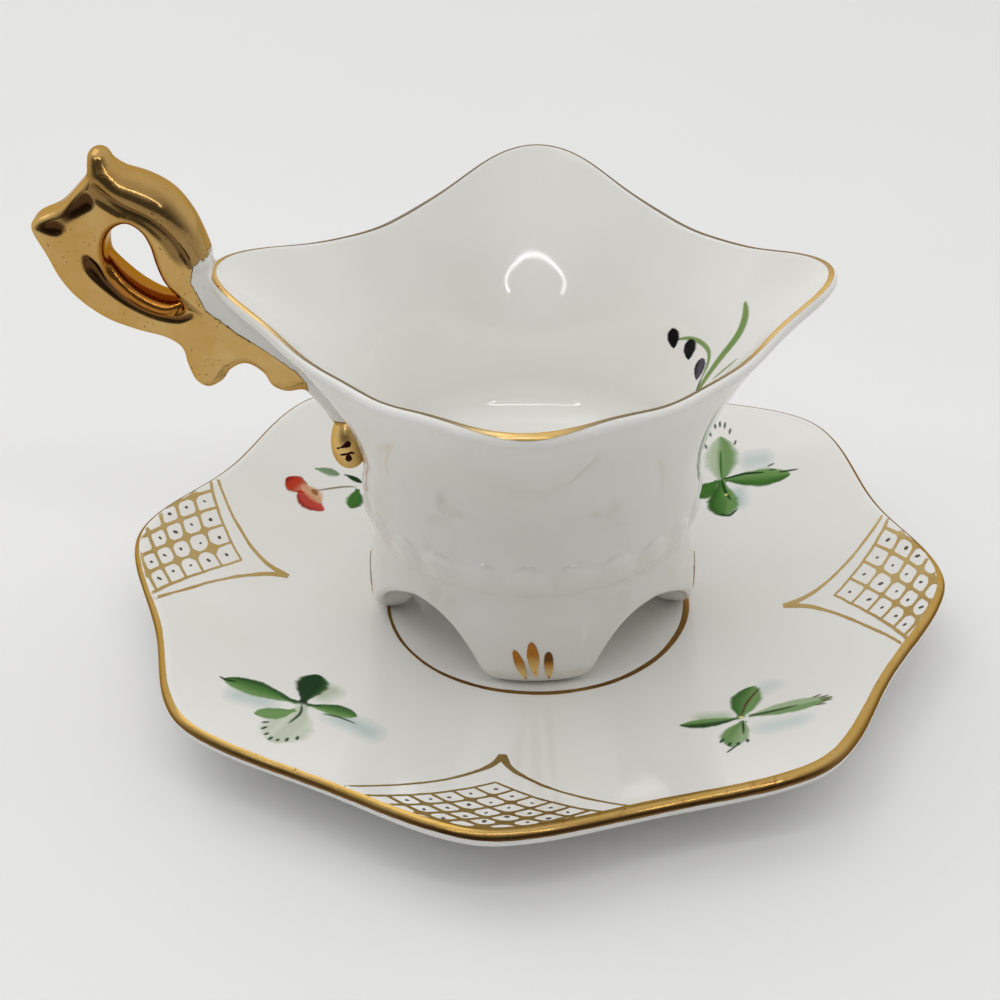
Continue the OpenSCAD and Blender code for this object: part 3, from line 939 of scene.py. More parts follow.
# The handle's middle plane as a fine grid
FLAT_LOW = (-72.0, 30.0)
FLAT_HIGH = (-20.0, 82.0)
FLAT_STEP = 0.13
flat_x, flat_z = np.ix_(*[np.arange(a, b, FLAT_STEP) for a, b in zip(FLAT_LOW, FLAT_HIGH)])


class Flat:
    """Values on the handle's middle plane, kept on its grid and read between its points."""

    def __init__(self, values):
        self.values = values

    def __call__(self, x, z):
        rows, cols = self.values.shape
        u = np.clip((x - FLAT_LOW[0]) / FLAT_STEP, 0, rows - 1.001)
        v = np.clip((z - FLAT_LOW[1]) / FLAT_STEP, 0, cols - 1.001)
        i, j = u.astype(int), v.astype(int)
        u, v = u - i, v - j
        first = self.values[i, j] * (1 - v) + self.values[i, j + 1] * v
        second = self.values[i + 1, j] * (1 - v) + self.values[i + 1, j + 1] * v
        return first * (1 - u) + second * u


def flat_outline(points):
    """Distance from a smooth closed outline, below zero inside."""
    loop = spline(points, 10, closed=True)
    distance = from_path(flat_x, flat_z, np.concatenate([loop, loop[:1]]))
    return Flat(np.where(inside_polygon(flat_x, flat_z, loop), -distance, distance))


class Rod:
    """A smooth rod through (x, z, radius) points: read as a distance in space."""

    def __init__(self, points):
        shape = (flat_x.size, flat_z.size)
        away, girth = np.full(shape, np.inf), np.zeros(shape)
        path = spline(points, 8)
        for start, end in zip(path, path[1:]):
            distance, share = near_segment(flat_x, flat_z, start, end)
            radius = start[2] + (end[2] - start[2]) * share
            closer = distance - radius < away - girth
            away = np.where(closer, distance, away)
            girth = np.where(closer, radius, girth)
        self.away, self.girth = Flat(away), Flat(girth)

    def __call__(self, x, y, z):
        return np.hypot(self.away(x, z), y) - self.girth(x, z)


plate_flat = flat_outline(PLATE_OUTLINE)
hole_flat = flat_outline(HOLE_OUTLINE)
scroll_rod = Rod(SCROLL_ROD)
stem_rod = Rod(STEM_ROD)
roll_rod = Rod(ROLL_ROD)
face_cuts = [(off, dirt, Rod(path)) for off, dirt, path in FACE_CUTS]


def handle_field(x, y, z):
    """The whole handle: a pierced plate with soft edges, a proud scroll and the root, with carved lines."""
    side = np.abs(y)
    outline = plate_flat(x, z)
    half = PLATE_HALF - PLATE_CROWN * np.exp(np.minimum(outline, 0) / CROWN_WIDTH)
    wide, deep = outline + PLATE_EDGE, side - half + PLATE_EDGE
    beyond = np.hypot(np.maximum(wide, 0), np.maximum(deep, 0))
    body = beyond + np.minimum(np.maximum(wide, deep), 0) - PLATE_EDGE
    body = soft_min(body, scroll_rod(x, y / SCROLL_SQUASH, z), SCROLL_BLEND)
    body = soft_max(body, -hole_flat(x, z), HOLE_ROUND)
    body = soft_min(body, roll_rod(x, y / ROLL_SQUASH, z), ROLL_BLEND)
    for off, _, carved in face_cuts:
        body = soft_max(body, -carved(x, side - PLATE_HALF - off, z), CUT_BLEND)
    return soft_min(body, stem_rod(x, y / STEM_SQUASH, z), STEM_BLEND)


def gold_edge_side(x, z):
    """Distance from the line where the gilding ends, below zero on the gilded side."""
    distance = from_path(x, z, GOLD_EDGE)
    right = FLAT_HIGH[0]
    white = inside_polygon(x, z, GOLD_EDGE + [(right, GOLD_EDGE[-1][1]), (right, GOLD_EDGE[0][1])])
    return np.where(white, distance, -distance)


def tarnish(points):
    """How far a point of the handle lies in the hole, whose walls take a painted reflection of gold, and how
    much painted shade it takes in a carved place or on the scroll's faces, each from 0 to 1.
    """
    x, y, z = points.T
    side = np.abs(y)
    # Painted reflection of gold in gold on the hole's walls
    hole_reflection = smooth_step(1.1, 0.5, hole_flat(x, z))
    # Painted dark reflection on the scroll, stronger towards the handle's front and back faces
    tube = smooth_step(0.5, 0.0, np.abs(scroll_rod(x, y / SCROLL_SQUASH, z)))
    painted_shade = tube * (0.2 + 0.28 * smooth_step(1.4, 3.2, side))
    # Painted shade in the carved lines and hollows
    for off, dirt, carved in face_cuts:
        depth = smooth_step(0.4, 0.05, carved(x, side - PLATE_HALF - off, z))
        painted_shade = np.maximum(painted_shade, dirt * depth)
    return hole_reflection, painted_shade


# Where the handle joins the bowl: the fillet's size and how far it spreads, how it thins out, how deep the
# handle goes into the wall, and how softly it ends at the lip's crest
FILLET = 1.6
ROOT_REACH = 2.0
FEATHER = 0.02
IN_WALL = 0.7
CREST_BLEND = 1.0


def luted_field(x, y, z):
    """The handle with a fillet where it joins the bowl, cut off in the bowl's wall and at the lip's crest."""
    handle = handle_field(x, y, z)
    bowl = bowl_field(x, y, z)
    joined = soft_min(handle, bowl, FILLET) + FEATHER
    core_r, core_z = lip_core(np.arctan2(y, x))
    joined = np.where(z > core_z, soft_max(joined, core_r - np.hypot(x, y), CREST_BLEND), joined)
    return np.maximum(np.maximum(joined, -bowl - IN_WALL), handle - ROOT_REACH)


def brush_edge(x, y, z):
    """Where the gilding ends: brushed ragged at the scroll's end, and nearly smooth below it."""
    rough = 0.02 + 0.16 * smooth_step(59.5, 61.5, z)
    return gold_edge_side(x, z) + rough * (np.sin(9 * y + 2 * x) + 0.7 * np.sin(17 * y - 5 * z))


def make_handle():
    margin, step = 1.2, 0.2
    corner_low = np.minimum(low("handle_scroll"), low("handle_root")) - margin
    corner_high = np.maximum(high("handle_scroll"), high("handle_root")) + margin

    def scroll_field(x, y, z):
        return np.maximum(luted_field(x, y, z), brush_edge(x, y, z))

    def root_field(x, y, z):
        return np.maximum(luted_field(x, y, z), -brush_edge(x, y, z))

    points, faces = contour(scroll_field, corner_low, corner_high, step)
    # The gold takes a painted reflection in the hole, and painted shade in the carvings and on the scroll
    hole_reflection, painted_shade = tarnish(points)
    add_piece("handle_scroll_gilt", points, faces, handle_gold, "cup", "gilded_porcelain", ["handle_scroll"],
              tarnish=hole_reflection, dirt=painted_shade)
    root = contour(root_field, corner_low, corner_high, step)
    add_piece("handle_root_glazed", *root, glaze, "cup", "porcelain", ["handle_root"])


# Paint on the knob is laid out flat at this radius
KNOB_FRONT = 3.6


def knob_point(a, t, lift):
    """A point of the knob's skin, from an angle round it and a share of its height between -1 and 1."""
    girth = KNOB_D / 2 * np.sqrt(1 - t * t) * (1 - KNOB_TAPER * t)
    r = girth / np.sqrt(np.cos(a) ** 2 + (np.sin(a) / KNOB_SQUASH) ** 2) + lift
    middle_x = -(BODY_R + KNOB_STAND - KNOB_D / 2)
    z = bead_top + KNOB_RISE + KNOB_H / 2 * t + 0 * a
    return np.stack([middle_x + r * np.cos(a), r * np.sin(a), z], axis=-1)


def make_knob():
    """An egg-shaped gilded knob, narrower at the top, standing over the bead."""
    rows, count = 40, 72
    a = np.arange(count) * TAU / count
    rings = [knob_point(a, t, 0) for t in np.linspace(-1, 1, rows + 2)[1:-1]]
    add_piece("handle_knob_gilt", *lathe(rings), knob_gold, "cup", "gilded_porcelain", ["handle_knob"])


# The middle of the lip's gold line: degrees over the lip, from its outside to its inside, and how far it
# comes forward at the back and where the brush pressed at the front
LIP_LINE_AT = 141
LIP_LINE_BACK = 14
LIP_LINE_FRONT = 22
# Where the brush pressed, and how far that spreads, in degrees round the lip
FRONT_PRESS = (271, 9)
SIDE_PRESSES = [(190, 15), (-14, 18)]


def make_lip_line():
    """The gold line on the lip, broad where the brush pressed and worn thin elsewhere."""
    thick = 0.05
    a = brush_turn * TAU

    def press(at, spread):
        gap = np.abs((a - math.radians(at) + math.pi) % TAU - math.pi)
        return np.exp(-(gap / math.radians(spread)) ** 2)

    front = press(*FRONT_PRESS)
    pressed = np.minimum(sum(press(*spot) for spot in SIDE_PRESSES) + front, 1)
    back = smooth_step(-0.1, 0.4, np.sin(a))
    width = 0.58 - 0.06 * back + 0.3 * pressed + 0.35 * front + 0.07 * wobble(brush_turn, 12, 6)
    middle = np.radians(LIP_LINE_AT - LIP_LINE_BACK * back - LIP_LINE_FRONT * front)
    middle = middle + 0.08 * wobble(brush_turn, 14, 4)

    def ring(side, layer):
        return turned(lambda angle: lip(angle, middle + side * width / LIP_WALL, layer), BRUSH_COUNT)

    sides = np.linspace(-1, 1, 7)
    wear_and_shade = np.tile(np.clip(1 - 1.3 * pressed, 0, 1), len(sides))
    line = film_on_rings(ring, sides, thick, tarnish=wear_and_shade)
    line.add("lip_gold", lip_gold, "cup", "gilding", ["lip_gilding"])


# A foot's three strokes, by side: shares of the length and width, the lean at the foot of it, and the lift
CLAWS = {-1: (0.92, 0.8, 1.65, 0), 0: (1, 1, 0.6, 0.7), 1: (0.84, 0.8, 0.15, 0)}
CLAW_LENGTH = 6.8
CLAW_WIDTH = 1.75
CLAW_STEP = math.radians(5.9)
CLAW_SHIFT = math.radians(-1.9)
CLAW_LOW = 1.5
CLAW_CAP = 0.62
CLAW_SINK = 0.03


def claw_stroke(strokes, foot, side):
    """A stroke that is round above and pointed below, drawn onto the foot's skin."""
    rows, cols, thick = 32, 9, 0.09
    long_share, wide_share, lean, up = CLAWS[side]
    rng = np.random.default_rng(40 + 3 * foot + side)
    length = CLAW_LENGTH * long_share * (1 + 0.05 * rng.standard_normal())
    t, v = np.meshgrid(np.linspace(0, 1, rows), np.linspace(-1, 1, cols), indexing="ij")
    cap = np.clip((t - CLAW_CAP) / (1 - CLAW_CAP), 0, 0.99)
    shape = np.clip(t / CLAW_CAP, 0.02, 1) ** 0.6 * np.sqrt(1 - cap ** 2)
    half = CLAW_WIDTH * wide_share / 2 * shape * (1 + 0.07 * np.sin(9 * t + rng.random() * TAU))
    z = well_z + CLAW_LOW + up + length * t
    aside = v * half + lean * (1 - t)
    angle = FOOT_TURN + CLAW_SHIFT + foot * QUARTER + side * CLAW_STEP + aside / apron_r
    r = toe_front(z - well_z)
    skin = np.stack([r * np.cos(angle), r * np.sin(angle), z], axis=-1).reshape(-1, 3)
    skin = settle(skin, skirt_field, 1.0)
    out = slopes(skirt_field, skin, 0.01)[1]
    out = out / np.linalg.norm(out, axis=-1, keepdims=True)
    burnt = np.clip(smooth_step(0.25, 0.75, t) + 0.25 * rng.standard_normal(), 0, 1).ravel()
    dirty = 0.75 * smooth_step(0.55, 0.75, t).ravel() * (side == 1)
    faces = grid_faces(rows, cols, False)
    strokes.film(skin + thick * out, skin - CLAW_SINK * out, faces, tarnish=burnt, dirt=dirty)


def make_claws():
    """Three strokes on the front of each foot."""
    strokes = Gathered()
    for foot in range(4):
        for side in (-1, 0, 1):
            claw_stroke(strokes, foot, side)
    strokes.add("claw_gold", claw_gold, "cup", "gilding", ["claw_gilding"])


make_bowl()
make_skirt()
make_handle()
make_knob()
make_lip_line()
make_claws()


# Painted decoration: gold trellis panels on the saucer, and sprigs in overglaze colours

# A panel's outer line, from its apex towards the well, and the trellis field within it
PANEL_APEX = 37.8
PANEL_HALF = 25.0
PANEL_STEEP = 2.75
SIDE_STEEP = 0.35
PANEL_BEND = 0.57
PANEL_TIP = 0.25
PANEL_LEAN = 0.14
FIELD_APEX = 45.0
FIELD_HALF = 15.5
FIELD_SLOPE = 0.78
FIELD_BEND = 0.0135
CELLS_AT_SIDE = 5
CELLS_AT_FRONT = 6
# Strokes run this far past the start of the saucer's edge, and are held at its crest
TRELLIS_MARGIN = -0.5
CREST_REACH = 0.3
BEYOND_CREST = 0.02
# Each stroke lies a little higher than the one before it
FILM_LIFT = 0.03
FILM_STEP = 0.001


def field_line(x):
    """The inner edge of the trellis."""
    return FIELD_APEX + FIELD_SLOPE * np.abs(x) - FIELD_BEND * x ** 2


class Panel:
    """A corner of the saucer that takes gold strokes, each a thin film draped on the dish."""

    def __init__(self, corner, strokes):
        self.out = np.array([math.cos(corner), math.sin(corner)])
        self.across = np.array([math.sin(corner), -math.cos(corner)])
        self.lean = -PANEL_LEAN * math.cos(corner)
        self.steep = PANEL_STEEP + SIDE_STEEP * abs(math.cos(corner))
        self.cells = CELLS_AT_SIDE if abs(math.cos(corner)) > 0.5 else CELLS_AT_FRONT
        self.strokes = strokes
        self.laid = 0

    def outer_line(self, x):
        """The panel's outer line: a pointed arch, as (x across, y outward)."""
        return PANEL_APEX + self.steep * (np.hypot(x, PANEL_TIP) - PANEL_TIP) ** PANEL_BEND

    def crossing(self, i, j):
        """The place of crossing (i, j), counted outward along both families of lines; halves give cells."""
        pitch = FIELD_HALF / self.cells
        return pitch * (j - i), field_line(pitch * i) + field_line(pitch * j) - FIELD_APEX

    def flat(self, x, y):
        """Places on the saucer, where the panels at the sides lean towards the back."""
        x, y = np.ravel(x), np.ravel(y)
        return np.outer(x + self.lean * (y - PANEL_APEX), self.across) + np.outer(y, self.out)

    def room(self, x, y):
        """How far places lie inside the saucer's edge."""
        at_x, at_y = self.flat(x, y).T
        return rim_radius(np.arctan2(at_y, at_x)) - edge_r - np.hypot(at_x, at_y)

    def held_in(self, flat):
        """Places drawn back to the crest of the saucer's edge, so that no gold hangs over the rim."""
        r = np.hypot(flat[:, 0], flat[:, 1])
        crest = rim_radius(np.arctan2(flat[:, 1], flat[:, 0])) - edge_r + CREST_REACH
        return flat * (np.minimum(r, crest + BEYOND_CREST * (r - crest)) / r)[:, None]

    def drape(self, x, y, faces):
        flat = self.held_in(self.flat(x, y))
        z = dish_height(flat[:, 0], flat[:, 1])
        lift = FILM_LIFT + FILM_STEP * self.laid
        top = np.column_stack([flat, z + lift])
        under = np.column_stack([flat, z - FILM_SINK])
        self.strokes.film(saucer_turned(top), saucer_turned(under), faces)
        self.laid += 1

    def ribbon(self, x, y, half):
        """A stroke along a path, with half its width at each point."""
        along = np.stack([np.gradient(x), np.gradient(y)])
        along = along / np.linalg.norm(along, axis=0)
        side = np.linspace(-1, 1, 3)
        wide_x = x[:, None] + np.outer(half * along[1], side)
        wide_y = y[:, None] - np.outer(half * along[0], side)
        self.drape(wide_x, wide_y, grid_faces(len(x), 3, False))

    def spot(self, x, y, reach):
        """A small closed shape: reach gives its edge, as (x, y) offsets round its middle."""
        ring = np.stack([0.05 * reach, reach])
        faces = grid_faces(2, reach.shape[1], True)[:, ::-1]
        self.drape(x + ring[:, 0], y + ring[:, 1], faces)


def shaky(count, seed, size):
    return size * wobble(np.linspace(0, 1, count), seed, 4)


# Half the width of a trellis line, what it gains on its way outward, and what each next line gains
LINE_HALF = 0.17
LINE_SWELL = 0.08
LINE_STEP = 0.015


def trellis_line(panel, k, side, seed):
    """Line k of a family, from the trellis's inner edge outward to the gold band."""
    start = -FIELD_HALF * k / panel.cells
    x = np.linspace(start, FIELD_HALF + 2, 44)
    y = field_line(start) + field_line(x - start) - FIELD_APEX + shaky(len(x), seed, 0.07)
    keep = panel.room(side * x, y) > TRELLIS_MARGIN
    if keep.sum() < 3:
        return
    x, y = x[keep], y[keep]
    half = LINE_HALF + LINE_SWELL * np.linspace(0, 1, len(x)) + LINE_STEP * k
    half = half + np.abs(shaky(len(x), seed + 50, 0.05))
    panel.ribbon(side * x, y, half)


STAR_SIZE = 0.40
STAR_GROW = 0.03
STAR_REACH = 0.8
DOT_SIZES = (0.2, 0.36)
# How much the hand varies the size and place of stars and dots
UNEVEN = 0.15
# Dots keep this far inside the saucer's edge
DOT_ROOM = 0.9


def star(panel, i, j, rng):
    """A crossing's filled star, drawn out along both families of lines."""
    step = 0.5
    x0, y0 = panel.crossing(i, j)
    x1, y1 = panel.crossing(i, j + step)
    x2, y2 = panel.crossing(i + step, j)
    turn = np.linspace(0, TAU, 24, endpoint=False)
    size = (STAR_SIZE + STAR_GROW * (i + j)) * (1 + UNEVEN * rng.standard_normal())
    u, v = size * np.cos(turn) ** 3, size * np.sin(turn) ** 3
    return np.stack([u * (x1 - x0) + v * (x2 - x0), u * (y1 - y0) + v * (y2 - y0)]) / step * STAR_REACH


def trellis_dot(panel, x, y, rng):
    """A small uneven dot near the middle of a cell."""
    turn = np.linspace(0, TAU, 14, endpoint=False)
    size = rng.uniform(*DOT_SIZES) * (1 + UNEVEN * np.cos(2 * turn + rng.random() * TAU))
    edge = np.stack([size * np.cos(turn), size * np.sin(turn)])
    panel.spot(x + UNEVEN * rng.standard_normal(), y + UNEVEN * rng.standard_normal(), edge)


def make_trellis():
    gold, dots = Gathered(), Gathered()
    for quarter in range(4):
        panel, dotted = Panel(quarter * QUARTER, gold), Panel(quarter * QUARTER, dots)
        rng = np.random.default_rng(60 + quarter)
        share = np.linspace(-1, 1, 101)
        x = PANEL_HALF * share * np.abs(share)
        y = panel.outer_line(x) + shaky(len(x), 70 + quarter, 0.12)
        keep = panel.room(x, y) > TRELLIS_MARGIN
        half = 0.2 + 0.36 * np.exp(-np.abs(x) / 2.2) + np.abs(shaky(len(x), 80 + quarter, 0.09))
        panel.ribbon(x[keep], y[keep], half[keep])
        for side in (-1, 1):
            for k in range(panel.cells + 1):
                trellis_line(panel, k, side, 90 + 20 * quarter + 7 * k + side)
        for i, j in np.ndindex(panel.cells + 1, panel.cells + 1):
            x, y = panel.crossing(i, j)
            if i and j and panel.room(x, y) > TRELLIS_MARGIN:
                panel.spot(x, y, star(panel, i, j, rng))
            x, y = panel.crossing(i + 0.5, j + 0.5)
            if max(i, j) < panel.cells and panel.room(x, y) > DOT_ROOM:
                trellis_dot(dotted, x, y, rng)
    gold.add("trellis_gold", trellis_gold, "saucer", "gilding")
    dots.values["paint"] = [np.tile(tint(DOT_BROWN), (dots.count, 1))]
    dots.add("trellis_dots", painted_glaze, "saucer", "porcelain")


# Overglaze colours as they show on the glaze, in the screen's 0 to 255
DOT_BROWN = (98, 90, 82)
DARK_GREEN = (25, 62, 25)
GREEN = (70, 118, 52)
SOFT_GREEN = (112, 150, 88)
PALE_GREEN = (160, 182, 142)
BLUE_WASH = (182, 202, 198)
BROWN = (88, 62, 48)
RED = (190, 52, 24)
DARK_RED = (128, 22, 16)
PEACH = (214, 160, 122)
TAN = (160, 112, 68)
BLACK_PURPLE = (27, 24, 28)
GREY_PURPLE = (84, 80, 92)
LEAF_YELLOW = (228, 226, 130)
STEM_GREY = (110, 104, 74)
BLADE_GREEN = (112, 142, 58)
KNOB_DARK = (58, 30, 22)


# The gloss of paint throws back this much light over its colour
VEIL = 0.012
DARKEST = 0.003


def tint(colour):
    """What white glaze is multiplied by to show a colour."""
    return np.clip(np.array(linear(*colour)) - VEIL, DARKEST, 1) / np.array(PORCELAIN)


# Paint stands proud by the first where it is full, and dips under the glaze by the second where it fades out
PAINT_LIFT = 0.045
PAINT_EDGE = 0.012


class Canvas:
    """A patch of glaze to paint on: colours on a fine grid of (u, v) millimetres, white where it is bare."""

    def __init__(self, corner_low, corner_high, step=0.17):
        u = np.arange(corner_low[0], corner_high[0], step)
        v = np.arange(corner_low[1], corner_high[1], step)
        self.u, self.v = np.meshgrid(u, v)
        self.paint = np.ones(self.u.shape + (3,))
        self.cover = np.zeros(self.u.shape)

    def lay(self, share, colour):
        share = np.clip(share, 0, 1)
        self.paint = self.paint + share[..., None] * (tint(colour) - self.paint)
        self.cover = np.maximum(self.cover, share)

    def frame(self, base, tip, bend):
        """Shares along a bent stroke from base to tip, and millimetres off it to its left."""
        du, dv = tip[0] - base[0], tip[1] - base[1]
        length = math.hypot(du, dv)
        pu, pv = self.u - base[0], self.v - base[1]
        t = (pu * du + pv * dv) / length ** 2
        return t, (pv * du - pu * dv) / length - bend * 4 * t * (1 - t)

    def line(self, points, half, colour, strength=1.0):
        """A thin stroke through points, which thins out at both ends."""
        path = spline(points, 6)
        total = len(path) - 1
        best = np.zeros(self.u.shape)
        for k in range(total):
            away, share = near_segment(self.u, self.v, path[k], path[k + 1])
            wide = half * np.sin(math.pi * np.clip((k + share) / total, 0.01, 0.99)) ** 0.5
            best = np.maximum(best, smooth_step(wide + 0.13, wide - 0.1, away))
        self.lay(strength * best, colour)

    def leaf(self, base, tip, half, body, bend=0.0, widest=0.55, strength=1.0, seed=1, soft=0.16, shades=()):
        """A leaf-shaped stroke with the streaks of a brush, and shades as (colour, side, start, strength).

        A shade is paint towards one side of the leaf, where side is 1 on its left and -1 on its right.
        The inside of the leaf and its (t, w) frame are given back for other paint.
        """
        t, w = self.frame(base, tip, bend)
        inner = np.clip(t, 0.001, 0.999)
        swell = np.sin(math.pi * inner ** (math.log(0.5) / math.log(widest))) ** 0.7
        girth = half * np.maximum(swell, 0.3 * (1 - inner)) * (1 + 0.07 * wobble(inner, seed + 7, 4))
        inside = smooth_step(1 + soft, 1 - 1.4 * soft, np.abs(w) / np.maximum(girth, 0.06))
        inside = inside * smooth_step(-0.02, 0.03, t) * smooth_step(1.02, 0.97, t)
        self.lay(strength * inside, body)
        self.paint = self.paint * (1 + 0.12 * inside * wobble(w / 9 + 0.1 * t, seed, 3))[..., None]
        w = w / np.maximum(girth, 0.06)
        for colour, side, start, depth in shades:
            self.lay(depth * inside * smooth_step(start, start + 0.8, side * w), colour)
        return inside, t, w

    def wash(self, base, tip, half, colour, strength=0.55, bend=0.0):
        """A thin, watery stroke with no edge."""
        t, w = self.frame(base, tip, bend)
        ends = smooth_step(-0.12, 0.3, t) * smooth_step(1.12, 0.7, t)
        self.lay(strength * ends * np.exp(-(w / half) ** 2), colour)

    def ticks(self, base, tip, wide, count, colour, seed, length=1.0, half=0.17, drop=1.1):
        """Short strokes that fan out round a leaf's tip, the outer ones further back by drop."""
        rng = np.random.default_rng(seed)
        along = np.array(tip, float) - np.array(base, float)
        along = along / np.linalg.norm(along)
        side = np.array([-along[1], along[0]])
        for spread in np.linspace(-1, 1, count):
            back = 0.2 + drop * spread ** 2 + 0.3 * rng.random()
            middle = np.array(tip) + wide * spread * side - along * back
            lean = along + 0.25 * spread * side
            size = length * rng.uniform(0.35, 0.6)
            self.line([middle - size * lean, middle, middle + size * lean], half, colour)

    def gather(self, films, place, flip=False):
        """Add the painted part as a film, where place gives points at a height over the glaze."""
        rows, cols = self.u.shape
        faces = grid_faces(rows, cols, False)
        cover = self.cover.ravel()
        faces = faces[cover[faces].max(axis=1) > 0.02]
        if flip:
            faces = faces[:, ::-1]
        u, v = self.u.ravel(), self.v.ravel()
        top = place(u, v, PAINT_LIFT * smooth_step(0, 0.3, cover) - PAINT_EDGE)
        films.film(top, place(u, v, -3 * PAINT_EDGE), faces, paint=self.paint.reshape(-1, 3))


def on_saucer(x, y, lift):
    z = dish_height(TURN_COS * x + TURN_SIN * y, TURN_COS * y - TURN_SIN * x) + lift
    return np.column_stack([x, y, z])


def front_right_sprig():
    sheet = Canvas((18, -42), (45, -20))
    heart = (29.2, -30.2)
    sheet.wash((30, -34), (39, -33), 1.6, BLUE_WASH)
    sheet.wash((31, -25), (35.5, -22), 1.6, BLUE_WASH, 0.45)
    sheet.wash((28.5, -29.6), (22.5, -29.4), 1.3, PALE_GREEN, 0.7)
    sheet.leaf(heart, (20.8, -30.9), 1.15, SOFT_GREEN, 0.2, 0.6, seed=3,
               shades=[(DARK_GREEN, 1, -0.5, 0.9)])
    sheet.leaf(heart, (31.6, -22.6), 2.1, SOFT_GREEN, 0.3, 0.55, seed=4,
               shades=[(GREEN, 1, -0.35, 0.9), (DARK_GREEN, 1, 0.3, 0.6)])
    sheet.line([heart, (30.3, -26.6), (32.3, -23.3)], 0.17, BROWN)
    sheet.leaf((30.2, -30.1), (41.6, -29.0), 1.55, PALE_GREEN, 0.2, 0.55, seed=5,
               shades=[(SOFT_GREEN, -1, -0.4, 0.8)])
    sheet.line([(30.3, -30.1), (33, -29.8), (36.8, -29.3)], 0.3, DARK_GREEN, 0.8)
    sheet.ticks((30, -30), (41.2, -28.9), 1.2, 5, BROWN, 6, 1.6, 0.15)
    sheet.leaf((29.5, -31.2), (27.4, -38.0), 1.9, SOFT_GREEN, -0.4, 0.55, seed=7,
               shades=[(PALE_GREEN, 1, -0.2, 0.7)])
    sheet.line([(29.4, -31), (29.2, -34.6)], 0.16, DARK_GREEN)
    sheet.ticks(heart, (27.6, -37.6), 1.7, 4, DARK_GREEN, 8, 0.9, 0.24)
    sheet.line([(28.4, -37.2), (27.2, -38.6), (26.6, -39.4)], 0.16, DARK_GREEN)
    sheet.line([(29.0, -30.2), (29.3, -30.1)], 0.24, LEAF_YELLOW, 1.0)
    return sheet


def front_left_sprig():
    sheet = Canvas((-46, -44), (-16, -18))
    heart = (-31.5, -28.4)
    sheet.wash((-34, -30), (-42, -29.4), 1.9, BLUE_WASH, 0.75)
    sheet.wash((-28, -30.6), (-19.5, -36), 1.9, BLUE_WASH, 0.8, 0.8)
    sheet.wash((-30, -27), (-26.5, -23), 1.7, PALE_GREEN, 0.7)
    sheet.leaf((-31.0, -29), (-33.4, -41), 3.3, PALE_GREEN, 0.2, 0.6, 0.6, seed=11, soft=0.3)
    sheet.leaf((-31.8, -30.6), (-37.0, -33.6), 1.6, SOFT_GREEN, 0.3, 0.6, seed=12)
    sheet.line([(-31.2, -29), (-31.1, -31.4), (-32.2, -34.6)], 0.19, DARK_GREEN)
    sheet.ticks((-30.8, -30), (-33.4, -40.2), 2.4, 6, DARK_GREEN, 13, 1.0, 0.22, 2.2)
    sheet.line([(-35.6, -35.6), (-34.7, -35.1)], 0.22, DARK_GREEN)
    sheet.leaf((-31.8, -28.6), (-42.4, -26.2), 2.0, SOFT_GREEN, -0.3, 0.62, seed=14,
               shades=[(GREEN, -1, -0.6, 0.9), (DARK_GREEN, -1, 0.15, 0.9)])
    sheet.line([(-40.6, -26.2), (-41.9, -26.4), (-42.9, -25.9)], 0.25, DARK_GREEN)
    sheet.leaf((-31.2, -28.6), (-30.0, -20.6), 2.3, DARK_GREEN, 0.1, 0.66, 1.0, seed=15,
               shades=[(GREEN, -1, 0.3, 0.5)])
    sheet.leaf((-30.6, -28.8), (-23.4, -30.3), 1.5, SOFT_GREEN, 0.35, 0.62, seed=16,
               shades=[(GREEN, 1, -0.6, 0.9), (DARK_GREEN, 1, 0.2, 0.8)])
    sheet.line([(-28.2, -30.6), (-25.8, -31), (-23.4, -32.2)], 0.18, DARK_GREEN)
    sheet.line([(-34.4, -27.4), (-31.8, -28.5), (-28.4, -28.7)], 0.36, DARK_GREEN, 0.7)
    return sheet


def back_right_sprig():
    sheet = Canvas((22, 17), (45, 45))
    heart = (30.3, 29.8)
    sheet.wash((32.6, 28), (32.8, 22), 1.3, BLUE_WASH, 0.8)
    sheet.wash((33, 33), (39, 33), 1.9, BLUE_WASH, 0.6)
    sheet.leaf(heart, (30.5, 39.5), 2.6, PALE_GREEN, 0.0, 0.5, 0.8, seed=21, soft=0.3,
               shades=[(SOFT_GREEN, -1, -0.5, 0.9)])
    sheet.line([heart, (30.3, 33), (30.4, 36.4)], 0.2, GREEN)
    sheet.ticks(heart, (30.6, 42.5), 2.4, 7, DARK_GREEN, 22, 1.1, 0.16, 4.5)
    sheet.leaf(heart, (41.2, 28.2), 2.0, SOFT_GREEN, 0.0, 0.6, seed=23,
               shades=[(GREEN, -1, -0.3, 0.9), (DARK_GREEN, -1, 0.35, 0.7)])
    sheet.line([heart, (34, 30.4), (37.2, 29.9)], 0.24, DARK_GREEN)
    sheet.line([(39.4, 29.3), (42.4, 28.9)], 0.2, DARK_GREEN)
    sheet.ticks(heart, (39.8, 30.9), 0.6, 2, DARK_GREEN, 24, 1.2, 0.15)
    sheet.leaf((29.6, 29.6), (25.4, 26.4), 1.9, GREEN, 0.3, 0.6, seed=25)
    sheet.leaf(heart, (30.2, 20.8), 2.5, SOFT_GREEN, 0.0, 0.64, seed=26,
               shades=[(GREEN, -1, -0.5, 0.9), (DARK_GREEN, -1, 0.2, 0.6)])
    sheet.line([heart, (30.7, 27), (31.5, 24.6)], 0.22, DARK_GREEN)
    sheet.line([(29.6, 21.6), (31, 20.9), (32.4, 22.4)], 0.22, DARK_GREEN)
    sheet.line([(30.7, 26.2), (30.9, 26.0)], 0.22, LEAF_YELLOW, 0.9)
    return sheet


